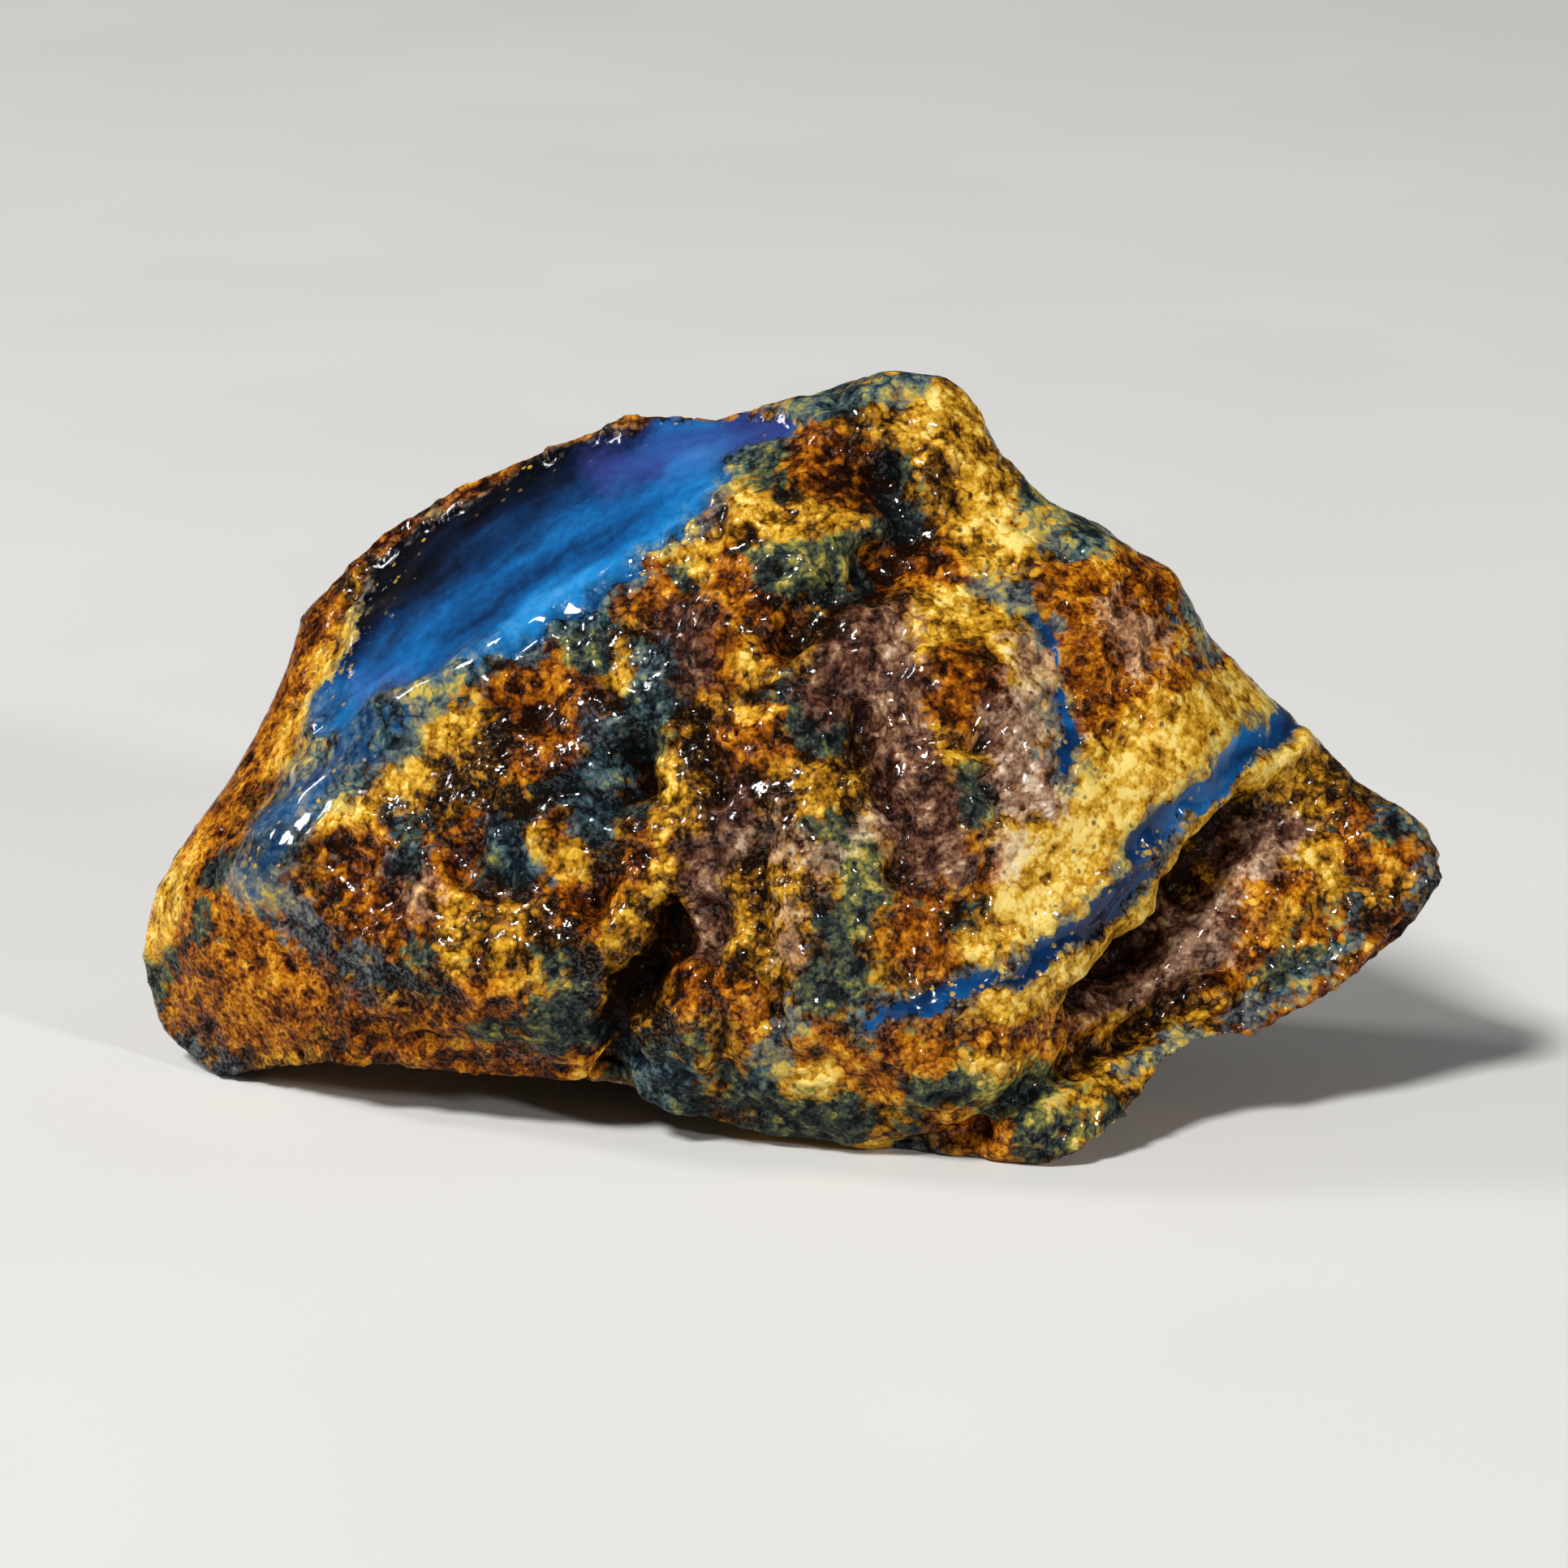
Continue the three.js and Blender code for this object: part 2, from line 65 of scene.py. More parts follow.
# The heights in mm below which the crust's grain fades out, and between which the bare amber of the
# hidden sides does.
GROUND_FADE = 2.5
BARE_NONE, BARE_FULL = 2, 9
# How much a coarse grain's own tone counts, and the largest value that a marking stores.
CHUNK_TONE = 0.16
FIELD_LIMIT = 2
# Farther than any distance that is measured, in mm.
FAR = 50.0

# The look of the surface: how the amber and the wet coat on it reflect, the crust's roughness where it is
# dark and where it is light, and how much darker all of the crust is than its own tone.
AMBER_IOR = 1.54
DRY_REFLECTION = 0.03
COAT_IOR = 1.4
COAT_ROUGHNESS = 0.09
BARE_COAT = 0.8
BARE_ROUGHNESS = 0.07
CRUST_ROUGHNESS = 0.24, 0.36
TONE_SHIFT = -0.14

# The studio: each light's name, place and size in m, and power in W, then the pale surroundings, half the
# floor's width in m, and the camera's sensor in mm.
LIGHTS = [
    ("key", (-0.9, -1.1, 1.6), 0.4, 50),
    ("side", (-1.35, 0.25, 0.95), 0.3, 8),
    ("fill", (1.5, -1.7, 0.8), 0.2, 20),
]
WORLD_STRENGTH = 0.08
FLOOR_HALF = 4
FLOOR_ROUGHNESS = 0.75
SENSOR_WIDTH = 36

# Markings as strokes on the front: a half width, then the points that the stroke runs through.
BLUE = [
    (0.8, (-32.8, -5.6), (-31.4, -3.4), (-29.4, -0.6), (-26.8, 1.8), (-24, 4)),
    (0.95, (31.2, 4.1), (28.5, 2.6), (27, 0.7)),
    (0.6, (27, 0.7), (25, -1), (23, -2.5), (21.8, -4), (21.2, -6), (19.8, -7.7), (18, -9.2)),
    (0.5, (18, -9.2), (16.5, -10.5), (14.5, -11.7), (12.5, -12.2)),
    (0.38, (12.5, -12.2), (10, -13.2), (7, -14.1), (5, -14.8)),
    (0.3, (15.4, 10.4), (16.4, 9.2), (17, 7.5), (17.2, 5), (17.3, 3), (17.6, 1), (17.8, 0)),
]
# Dull slate-blue places, some of them round the blue ones.
SLATE = [
    (1.3, (-33, -5.5), (-30.5, -7.5), (-29, -9), (-27, -10.5), (-26, -11.5)),
    (1.4, (-32, -5), (-30, -2), (-27, 1.4), (-24, 3.4)),
    (1.2, (-22, 5), (-18, 7.6), (-14, 10.4), (-10, 13)),
    (0.9, (12.4, 12.2), (14.6, 11.2), (16.2, 9.8)),
    (0.8, (35.2, -7.5), (35, -9.8), (34, -11)),
    (0.9, (34, -11), (31, -12.8), (28.5, -14.3), (25.5, -15.5), (22, -17)),
    (0.9, (0.5, -14.6), (-1.2, -17.5)),
    (0.8, (40.0, -5.4), (39.4, -7.6)),
    (0.7, (39.2, -3.6), (37.6, -2.2)),
    (0.8, (-37, -16.5), (-35, -17.8), (-33, -18.2)),
    (1.0, (0, 22.6), (4, 24), (8, 24.8)),
    (0.9, (7.6, -23.4), (10, -24)),
    (1.0, (-8.4, 8.2), (-7.9, 4.0)),
    (1.2, (-12.8, -0.4), (-11.8, -3.0)),
    (1.2, (-17.6, -3.4), (-15.8, -5.6)),
    (1.0, (-11.5, 3.4), (-10.8, 1.4)),
    (0.8, (-24, -1.6), (-22.8, -4)),
    (1.0, (-9, -17.2), (-6.6, -18.4)),
    (0.9, (15.2, 16.4), (17.6, 14.8), (19.4, 15)),
    (0.8, (24.6, 10.6), (25.8, 8.6)),
]
# The bare window's outline, and the part of it that is nearly black, as painted shade for the amber's unlit
# depth.
WINDOW = [
    (-28, 3), (-24, 5), (-20.4, 6.6), (-17, 7.8), (-13, 10.2), (-9.6, 12.4), (-7.6, 14.4), (-5.4, 16),
    (-3.8, 17.8), (-3.5, 20), (-1, 21), (1.5, 22.3), (-2, 23), (-7, 22.5), (-12, 21.3), (-17, 18.9),
    (-22, 16.2), (-24.6, 13.4), (-25.2, 10.8), (-26.6, 8.2), (-28.4, 5),
]
NAVY_SHADE = [
    (-27, 7.4), (-23.5, 10.2), (-20, 13), (-17, 15.6), (-14, 17.8), (-11, 20), (-8.5, 22), (-9, 25),
    (-12, 24), (-18, 21), (-25, 16), (-27, 11),
]
PURPLE = [
    (1.2, (-11, 19.6), (-7, 20.6), (-2, 21.8), (3, 23.8)),
    (0.8, (-26, 5.4), (-24.5, 6.4)),
    (0.5, (-29.5, 0.2), (-27.5, 2.2)),
    (0.6, (-36, -17.2), (-34, -18.2)),
]
YELLOW = [
    (3.0, (15.8, -7), (17.6, -3.6), (20, 0), (24, 2.3), (28, 4.8)),
    (1.8, (13, -10.6), (14.5, -7), (14.4, -3.4)),
    (1.7, (21, 2.4), (26, 4.4), (30.5, 5.6)),
    (1.4, (17.5, -9.4), (21, -5)),
    (0.8, (32, 2.7), (29, 0.3), (25, -2.7), (23.2, -5.5), (21.8, -8), (19, -10), (16, -12.5), (13, -13.3)),
    (2.5, (7.6, 21.6), (10.4, 21.6)),
    (1.9, (11, 19.2), (13, 17)),
    (1.5, (11.6, 16), (15.2, 14.8)),
    (1.2, (-3.4, 18.6), (-1, 16.4), (1, 15.6), (4.4, 15.8)),
    (0.9, (-6, 17), (-4.8, 15)),
    (0.8, (-9.4, 14.6), (-6, 13.8)),
    (0.85, (7.5, 8.8), (9, 10.6), (11.5, 10.7), (13.6, 9.3), (14.9, 7.4), (14.8, 5.6)),
    (0.7, (8.6, 11.6), (12, 11.4), (11.4, 14)),
    (1.3, (-21.5, 5), (-20.5, 3), (-22.6, 1.6)),
    (0.9, (-25, -0.6), (-23, 0.8)),
    (0.8, (-28, -2.4), (-25.5, -1.6)),
    (0.8, (-22.2, -6.8), (-20.5, -8.5), (-20.3, -10.6)),
    (1.0, (-18.2, -9.4), (-17.4, -11.4)),
    (1.0, (-14.8, -3.8), (-13.2, -5)),
    (0.9, (-7, 2.2), (-6.9, -1.2), (-7.4, -4), (-8.4, -6.4), (-10.4, -7.8)),
    (0.8, (-10.5, -10), (-9.6, -11)),
    (0.9, (-10, 5.8), (-9.4, 7.4)),
    (0.7, (-2.2, 7.2), (-0.4, 6.6)),
    (0.6, (-2.2, 4.9), (-0.4, 4)),
    (1.0, (1.2, 0.4), (2.2, -0.2)),
    (1.2, (-24.7, 10.8), (-26.7, 8.5), (-28.4, 6), (-29.6, 3), (-31, 1.2)),
    (1.0, (-36.4, -3.4), (-38.8, -8), (-39.5, -11.5)),
    (0.8, (0, -17.5), (2, -18.3)),
    (0.9, (5, -21), (6.6, -22.4)),
    (1.2, (16.6, -20.4), (19, -21)),
    (0.8, (12, -18), (13.2, -18.6)),
    (0.7, (27.5, -9.5), (29.5, -9), (31, -7.6)),
    (0.7, (36.9, -5.8), (38, -5.6)),
    (0.5, (32, -4.2), (33.4, -6)),
    (0.8, (-14, -12.4), (-16.4, -12)),
]
RUST = [
    (0.7, (-25.4, 15), (-22, 17.2), (-17, 19.7), (-12, 22), (-7.5, 23), (-3, 22.7)),
    (2.4, (-29.6, 9.8), (-31.6, 5), (-34, 1), (-36.2, -4)),
    (5.2, (-33.2, -9.2), (-33, -10.4)),
    (3.0, (-35.6, -13), (-31, -14)),
    (1.6, (-27, -14.6), (-20, -16.8), (-13, -17.2)),
    (2.6, (-15.4, 6.6), (-14.6, 5)),
    (1.7, (-20.6, -4), (-20.2, -5.6)),
    (2.4, (-26.4, -5.4), (-25.6, -7)),
    (1.2, (-14.2, -2.4), (-13.8, -3.4)),
    (1.7, (-13.6, -6.6), (-12, -7.6)),
    (1.3, (-9.2, -3.8), (-9, -5.2)),
    (1.5, (-15.8, 2.6), (-14.8, 1.6)),
    (1.3, (-18.8, -8), (-18, -9)),
    (1.2, (-23.2, -9), (-22.6, -10.4)),
    (1.5, (-18.6, -13.4), (-16, -13.6)),
    (1.8, (-8.6, 12.8), (-7.6, 11.8)),
    (2.1, (-3.9, 13.6), (-2, 12)),
    (2.4, (2, 20.4), (4.2, 18.4)),
    (1.7, (6.6, 12.8), (9.6, 13.2)),
    (1.6, (-4.8, 8.8), (-4.2, 7.6)),
    (1.0, (-1, 9.5), (-0.5, 8)),
    (1.4, (-2, 3), (0, 1.8)),
    (2.4, (10.8, 6.8), (10.6, 6)),
    (3.0, (18.9, 11), (22, 11.6)),
    (2.9, (20.6, 6.8), (23.4, 7)),
    (1.5, (19.5, 3.6), (22.4, 4)),
    (1.2, (11.6, -4), (10.2, -6.6), (8, -8.2), (9.4, -10.2)),
    (2.2, (28.6, -6.6), (30, -7)),
    (2.0, (26.4, -10.8), (28, -10.2)),
    (1.9, (32.4, -9.6), (33.8, -9)),
    (1.6, (35.6, -3.4), (36.6, -4.6)),
    (1.5, (2, -16), (5, -17.5), (9, -16.5)),
    (1.6, (14, -15.2), (18, -14.6)),
    (1.8, (11, -21.4), (13, -21.6)),
    (1.1, (-2.8, -13), (-2.4, -15)),
    (0.8, (-6.2, -10), (-5.6, -13)),
    (1.4, (28, -15.6), (33, -13.2), (38, -9.6)),
]
PLUM = [
    (2.6, (6, 8.4), (7, 4), (8, 0), (8.8, -4)),
    (2.0, (13.5, 3.6), (15.5, 0.4)),
    (1.9, (3.6, 8.4), (3, 5.4)),
    (2.2, (26, -8), (24, -10.5)),
    (1.2, (27.6, -4.5), (31, -2.6)),
    (1.6, (22.6, -11.6), (19, -13.4)),
    (1.5, (-6, 9.6), (-6.2, 7.4)),
    (1.4, (-3.4, -1.6), (-2.4, -3)),
    (1.2, (-4.8, -5), (-4.6, -9)),
]
# Pale pinkish cream: partly the skin's own colour, partly painted sheen where the skin glints.
PALE_AND_SHEEN = [
    (1.3, (15.6, 8), (15.4, 4.6), (15.2, 1), (15, -1)),
    (1.1, (21, 9.8), (22.2, 8)),
    (1.2, (-0.4, -3.6), (1.8, -4.3)),
    (0.8, (5, -2.2), (3.6, -3)),
    (1.2, (24.8, -10.6), (26, -9)),
    (0.9, (30.6, -4), (29, -3.5)),
    (0.7, (14, -3.2), (13.4, -4.6)),
    (0.7, (-23, -7.4), (-22, -6.4)),
    (0.6, (0, -8.4), (-0.2, -10.4)),
]
COOL = [
    (1.8, (-17.4, 8.6), (-16, 7.6)),
    (1.7, (-13.6, 10.2), (-12.4, 9.2)),
    (1.0, (-20, 5.8), (-16, 8.8), (-12, 11.2), (-8.6, 14.2)),
    (1.0, (-24, 3.4), (-23, 3)),
    (0.9, (-23.4, -3.6), (-22.6, -4.6)),
    (1.1, (-18, -4.4), (-17, -4.8)),
    (0.8, (-16.4, -5.8), (-15.6, -6)),
    (1.2, (-12.6, -0.6), (-11.8, -3.4)),
    (1.0, (-8.4, 7.4), (-7.9, 3.8)),
    (1.0, (-23, -10), (-22, -11)),
    (0.7, (-5.8, 13.2), (-5.2, 12.6)),
    (1.1, (1.6, 4.6), (2.6, 3.8)),
    (0.9, (-0.2, 12.7), (3, 14), (6.3, 16.4)),
    (0.8, (4.4, 12.6), (5, 12)),
    (0.8, (6.6, 20), (7.4, 19.4)),
    (1.2, (-2, 20), (-1, 19.4)),
    (0.8, (2, 23.5), (5, 24.3), (8.2, 24.9)),
    (0.8, (11.6, -0.6), (12, -1.2)),
    (1.3, (3.6, -3.4), (4.8, -6), (4, -9)),
    (0.9, (10.2, -6.8), (10.8, -7.4)),
    (1.5, (-8, -18.2), (-6.8, -18.8)),
    (1.5, (-14.6, -12.8), (-13.4, -13.4)),
    (1.0, (-18.4, -14.6), (-14, -15.6)),
    (0.8, (24.8, 11.2), (25.8, 9.4)),
    (0.8, (15.8, 17.2), (16.8, 16.6)),
    (0.6, (18.2, 16.2), (19, 15.8)),
    (1.1, (30.8, -11), (33.4, -9.6)),
    (0.8, (36.2, -3), (36.8, -3.2)),
    (1.0, (-34.6, -5), (-38, -12)),
    (0.9, (2.6, -13), (4.4, -12.4)),
    (1.1, (-11.6, -15.4), (-11.8, -16.6)),
    (1.5, (-2, -19), (3, -21)),
    (1.4, (12, -19), (18, -21)),
    (1.1, (6, -16.4), (9, -19)),
]
# The yellow lip under the vein, which other markings keep off.
LIP = [
    (
        0.75, (32.2, 2.6), (29.4, 0.4), (27, -1.4), (25, -3), (23.6, -5.2), (22.2, -7.8), (19.6, -9.9),
        (17, -11.8),
    ),
    (0.6, (17, -11.8), (15, -13), (12.6, -13.5)),
]
# Where the crust is smoother than elsewhere, with fine pits: the shelf, the dome, the swath, the left end.
CALM = [
    (2.6, (16, -6.5), (18, -3), (22, 0.5), (29, 4.6)),
    (2.4, (11.4, 7.2), (10.4, 6)),
    (1.3, (11.6, -3.6), (10.2, -6.4), (8, -8.2), (9.2, -10.4)),
    (4.5, (-31, 9), (-34.6, 1), (-36.5, -6), (-34, -12.5), (-31, -14.5)),
]
# The middle of the dome, which the fine wrinkles run round.
DOME = (12, 7)
# Where the crust is a sponge of small pits with pale rims.
SPONGE = [
    (2.6, (19.6, 11), (22.6, 10.6)),
    (2.4, (20.8, 6.4), (23.6, 7.4)),
    (4.0, (-31.6, 8.6), (-34.4, 1), (-35.4, -6)),
    (4.0, (-34, -11), (-30, -14.4)),
    (1.4, (-26, -15.4), (-18, -16.6)),
]
# Where the crust is lighter or darker than elsewhere: by how much, then a stroke. Most follow the crust's own
# tone; some are painted shadow in the deep crevice and under the shelf's lip, and painted light on places
# that face away from the lights.
TONE_AND_PAINTED_LIGHT = [
    (0.35, 3.4, (20, 10.6), (22, 6)),
    (0.3, 2.6, (29.5, -6.6), (35, -6)),
    (0.35, 1.4, (-2.4, 7.4), (-2.8, 6.8)),
    (0.05, 1.5, (11.6, -3.6), (10.2, -6.4), (8, -8.2), (9.2, -10.4)),
    (0.25, 3.4, (-33, -9), (-33, -12)),
    (-0.45, 2.4, (4.2, 20), (7, 15.5), (3.4, 11.4)),
    (0.2, 2.6, (6, 3), (7, -2)),
    (0.35, 1.6, (3.6, -3.4), (4.8, -6), (4, -9)),
    (0.45, 1.6, (0, 22.6), (4, 24), (8, 24.8)),
    (0.4, 1.5, (15.2, 16.4), (19.4, 15)),
    (0.4, 1.5, (24.6, 10.6), (25.8, 8.6)),
    (0.35, 1.5, (39.2, -3.6), (40, -7)),
    (0.5, 1.4, (34.6, -10.4), (31, -12.6), (28, -14.6), (22, -17)),
    (-0.14, 9.0, (-25, -4), (-13, -3), (-2, 4)),
    (0.25, 4.0, (-3, -13), (4, -17), (14, -19)),
    (0.2, 3.0, (27, -7), (33, -8)),
    # Painted shadow in the deep crevice.
    (-0.45, 2.0, (-7.4, -10), (-9.8, -15)),
    (-0.2, 2.2, (10.6, 6.6), (11, 5.8)),
    (0.25, 3.0, (16, -6.5), (18, -3), (22, 0.5), (29, 4.6)),
    # Painted light on the lower left rim, which faces down, away from the lights.
    (0.15, 2.4, (-30, -16.4), (-20, -17), (-12, -17.6)),
    # Painted shadow under the shelf's lip.
    (-0.35, 1.2, (28.4, -3), (26, -5.2)),
    (0.45, 1.4, (13.6, 16), (13.6, 12.6)),
    (0.5, 1.2, (14.8, 10.6), (15.6, 6), (14.4, 1.6)),
    # Painted light on a patch that lies in the boss's shade.
    (0.9, 1.2, (1.6, 13), (4.6, 14.2)),
    (0.45, 1.0, (12, 2.2), (14.8, 1.8)),
    (0.3, 0.8, (15.6, 14.6), (16.4, 13.4)),
    (0.45, 0.8, (-3.2, 19.2), (-0.8, 19.6)),
    (0.3, 0.8, (7.8, 19.4), (8.8, 17)),
    (0.35, 1.0, (-27.6, -3.6), (-26.4, 0.6)),
    (0.35, 0.6, (-25.4, 10.8), (-27, 8.4)),
    (0.35, 0.6, (-29.8, 6), (-28.8, 4.2)),
    (0.2, 1.2, (-33.4, -1.4), (-33.2, -4.6)),
    (0.35, 0.6, (-6.4, 12), (-6.8, 10.2)),
    (0.3, 0.5, (-9, 3.8), (-9, 2.6)),
    (0.4, 1.4, (0, -5.6), (0, -12.6)),
    (0.4, 1.0, (5, -4.6), (4.6, -7)),
    (0.35, 0.6, (21, -10.2), (22.4, -10.8)),
    (0.3, 0.6, (25.2, -7), (26, -8.2)),
    (0.4, 0.7, (5.8, -12.4), (7.6, -12.2)),
    (0.3, 1.0, (8.4, -2.6), (4.6, -3.4)),
    (0.35, 0.5, (14.8, -10.2), (14.4, -11.2)),
    (0.2, 1.0, (35, -2.4), (37, -6)),
    (0.25, 0.8, (19.6, 12.6), (21.4, 12.2)),
    (0.3, 0.6, (19.6, -19.4), (20.4, -20.4)),
    (-0.6, 0.8, (0.6, 16), (1.8, 16.8)),
    (-0.45, 0.8, (7.4, 13.6), (8.2, 11)),
    (-0.5, 1.0, (-0.6, 1), (2.2, 0.2)),
    (-0.6, 0.8, (20.8, 3.6), (23, 4.4)),
    (-0.4, 1.2, (-16.5, 3.6), (-12.4, 5)),
    (-0.3, 0.8, (-10.6, 7.4), (-9.6, 6.4)),
    (-0.3, 0.8, (-3.6, -3), (-2.6, -2.4)),
    (-0.25, 0.8, (-14.6, 11.2), (-12.8, 10.6)),
    (-0.35, 0.6, (-9.4, 13), (-8.6, 12.4)),
    (-0.4, 0.4, (-23.2, 0.4), (-22.8, 0.6)),
    (-0.25, 0.9, (-14.6, -2.6), (-10.4, -4.2)),
    (-0.2, 0.8, (-16.4, -8.8), (-13, -9)),
    (-0.3, 0.9, (-5.8, -11.4), (-5.2, -14)),
    (-0.3, 0.9, (10.4, -16), (13.4, -15.8)),
    (-0.25, 1.4, (-31, -14.6), (-28.4, -15.2)),
    (-0.35, 0.7, (29.2, -7.2), (31.2, -4.6)),
    (0.3, 1.6, (-32.6, -6.2), (-29.4, -0.6), (-23.8, 4.1), (-18.4, 7.8)),
]
# The window's lower edge, where its blue is palest and frays into the crust; its paleness is painted light.
BRIGHT = [(1.0, (-27, 3.6), (-20, 7), (-13.4, 11), (-8.6, 15), (-4, 19.4))]
# The worn, glossy ridge at the window's lower left, which is smoother than the crust round it.
SLEEK = [
    (1.5, (-32.6, -6.2), (-31.4, -3.4), (-29.4, -0.6), (-26.8, 1.9), (-23.8, 4.1), (-20.4, 6), (-18.4, 7.8)),
]
# How ragged each marking is: the share of its depth inside, the height and wave length of its noise.
RAGGED = {
    "blue": (1.0, 0.55, 2.2), "purple": (0.8, 0.5, 3.0), "yellow": (0.7, 1.3, 2.4), "rust": (0.6, 1.1, 3.0),
    "slate": (0.8, 1.0, 2.2), "plum": (0.8, 0.9, 2.8), "pale": (0.7, 1.0, 1.5), "cool": (0.7, 1.5, 2.6),
    "calm": (1.0, 0.8, 3.0), "sponge": (0.8, 0.9, 3.0), "lip": (1.0, 0.3, 1.4),
}
# How much the crust's coarse grains differ in each marking, in mm.
CHUNK_SHARES = {"rust": 0.4, "cool": 0.45, "plum": 0.3, "pale": 0.4, "slate": 0.4, "blue": 0.12}
# The markings of the hidden sides: a name, a wave length, a gain, how rare it is, and a seed.
HIDDEN = [
    ("blue", 13, 7, 0.45, 31),
    ("purple", 7, 4, 0.5, 51),
    ("yellow", 8, 5, 0.2, 61),
    ("rust", 9, 5, 0.0, 71),
    ("slate", 8, 6, 0.35, 141),
    ("plum", 10, 5, 0.25, 81),
    ("pale", 5, 4, 0.5, 91),
    ("cool", 7, 5, 0.2, 101),
    ("calm", 14, 8, 0.1, 121),
    ("sponge", 9, 7, 0.2, 131),
]
# The colours of the crust's kinds and of the bare amber, each from dark to light.
OCHRE_COLOURS = "120803", "2a1706", "54360a", "8c5e10", "b4821e", "d0a438", "e4c870"
RUST_COLOURS = "140703", "381805", "703806", "a2600c", "c88a1c", "e0b44c"
COOL_COLOURS = "0b0e0e", "181e1e", "2e3630", "545634", "8a8038", "c4a858"
PLUM_COLOURS = "180b07", "3c2118", "684634", "967254", "d0b49c"
PALE_AND_SHEEN_COLOURS = "4a2c20", "a88468", "e4d2bc"
SLATE_COLOURS = "080c10", "141f26", "2b4048", "4c6064", "7c7c50", "b89e42"
DEEP_COLOURS = "01030a", "04122a", "082e58", "0d528c", "1a74b2", "4494cc"
# The purple tint, the dark specks, the painted shade of the deepest clefts, and the yellow dots.
PURPLE_COLOUR, SPECK_COLOUR, CLEFT_SHADE_COLOUR, DOT_COLOUR = "3c3c88", "1a0b03", "0e0502", "c09838"
FLOOR_COLOURS = "d6d5d2", "dad9d6"

# Relief too sharp for the solid: a name, a half width, a height (negative for a cleft), and the path.
RELIEF = [
    ("deep crevice", 1.2, -2.0, (-6.6, -8.6), (-8.4, -11.6), (-9.9, -14.2), (-10.7, -18.5)),
    ("upper cleft", 1.3, -1.0, (6.4, 18.5), (7.3, 15.2), (4.6, 12.4), (2.4, 10.9), (0.6, 9.0)),
    ("middle cleft", 0.7, -1.2, (4.9, 4.5), (4.7, 1.2), (6.4, -1.2), (7.7, -3.4), (7.2, -5.6)),
    ("dark hole", 0.9, -1.7, (-9.0, 1.6), (-9.0, -0.4)),
    ("left groove", 0.9, -0.9, (-9.6, -4.2), (-12.4, -7.4)),
    ("upright crack", 0.6, -0.9, (-5.9, 5.4), (-4.8, 2.0), (-4.1, -0.4)),
    ("upright groove", 0.7, -0.9, (-4.2, -8), (-4.6, -13), (-4, -18)),
    ("slab foot", 0.6, -1.0, (-1.0, -2.6), (-1.6, -6.0), (-1.2, -10.5), (-0.6, -14.4)),
    ("lower crease", 0.8, -1.1, (27, -12.2), (23.6, -13.8), (19.6, -16.2), (15.6, -18.6), (11.8, -21.2)),
    ("lower crease's end", 0.6, -0.8, (11.8, -21.2), (7, -22.9)),
    ("under the shelf", 1.3, -1.9, (29, -1.6), (27, -3), (25.4, -5), (24, -7.6), (22.6, -9.6), (20.5, -11.4)),
    ("under the shelf's end", 0.9, -1.2, (20.5, -11.4), (18, -13)),
    ("shelf lip", 0.8, 0.7, (32, 2.6), (29, 0.4), (26.6, -1.4), (24.6, -3.0), (23.2, -5.2), (22, -8.0)),
    ("shelf lip's end", 0.7, 0.6, (22, -8.0), (19.4, -9.9), (17.2, -12)),
    ("tongue", 0.9, 0.4, (-24.5, 10.8), (-26.5, 8.5), (-28, 6), (-29, 3), (-30.5, 1.5)),
    ("tongue groove", 0.45, -0.5, (-26.3, 12), (-28.5, 7), (-29.8, 4.8)),
    ("ridge band", 1.5, 0.5, (-32.6, -5.2), (-31.2, -3), (-29, -0.2), (-26, 2.6), (-23.4, 4.4), (-20.6, 6)),
    ("window ridge", 0.7, 0.35, (-28, 3), (-24, 5), (-20, 7), (-18, 9), (-14, 11.5), (-10.5, 13.5)),
    ("dome crease", 0.5, -0.7, (13.4, 3.4), (12.4, 2.6), (9.4, 2.4), (7.6, 3.4), (6.8, 6), (7.4, 9)),
    ("lobe crease", 0.5, -0.6, (12.4, 2.6), (12.8, 0), (13.4, -1.8), (15.4, -2.4)),
    ("round hole", 0.6, -1.2, (17.4, 14.4), (17.5, 14.3)),
    ("boss pit", 0.6, -0.8, (10.4, 19.2), (10.7, 19)),
    ("swath edge", 0.6, -0.5, (12.6, -4.4), (11.4, -7), (9.8, -8.6), (10.6, -10.6)),
    ("recess crease", 0.6, -0.7, (27, -7.6), (29, -8.6), (31, -8), (31.6, -6)),
    ("edge groove", 0.6, -0.5, (33.4, -10.4), (30.4, -12.2), (28, -13.6), (25, -14.8)),
    ("rust pit", 1.3, -0.9, (-20.4, -4.6), (-20.2, -5.2)),
    ("rust hollow", 1.9, -0.9, (-25.8, -5.6), (-25.2, -6.8)),
    ("upper rust hollow", 1.8, -0.9, (-15.2, 6.2), (-14.6, 5)),
    ("low rust hollow", 1.3, -0.9, (-13.2, -6.6), (-12.2, -7.4)),
]


def place(a, b, depth):
    """The point of the frame, in mm, at a place of the view and a depth."""
    shrink = 1 - depth / VIEW_DISTANCE
    return ORIGIN + RIGHT * a * shrink + UP * b * shrink + TOWARDS * depth


def view_places(points):
    """The view coordinates a and b of points in mm."""
    offset = points - ORIGIN
    shrink = 1 - offset @ TOWARDS / VIEW_DISTANCE
    return offset @ RIGHT / shrink, offset @ UP / shrink


def smoothstep(low, high, value):
    t = np.clip((value - low) / (high - low), 0, 1)
    return t * t * (3 - 2 * t)


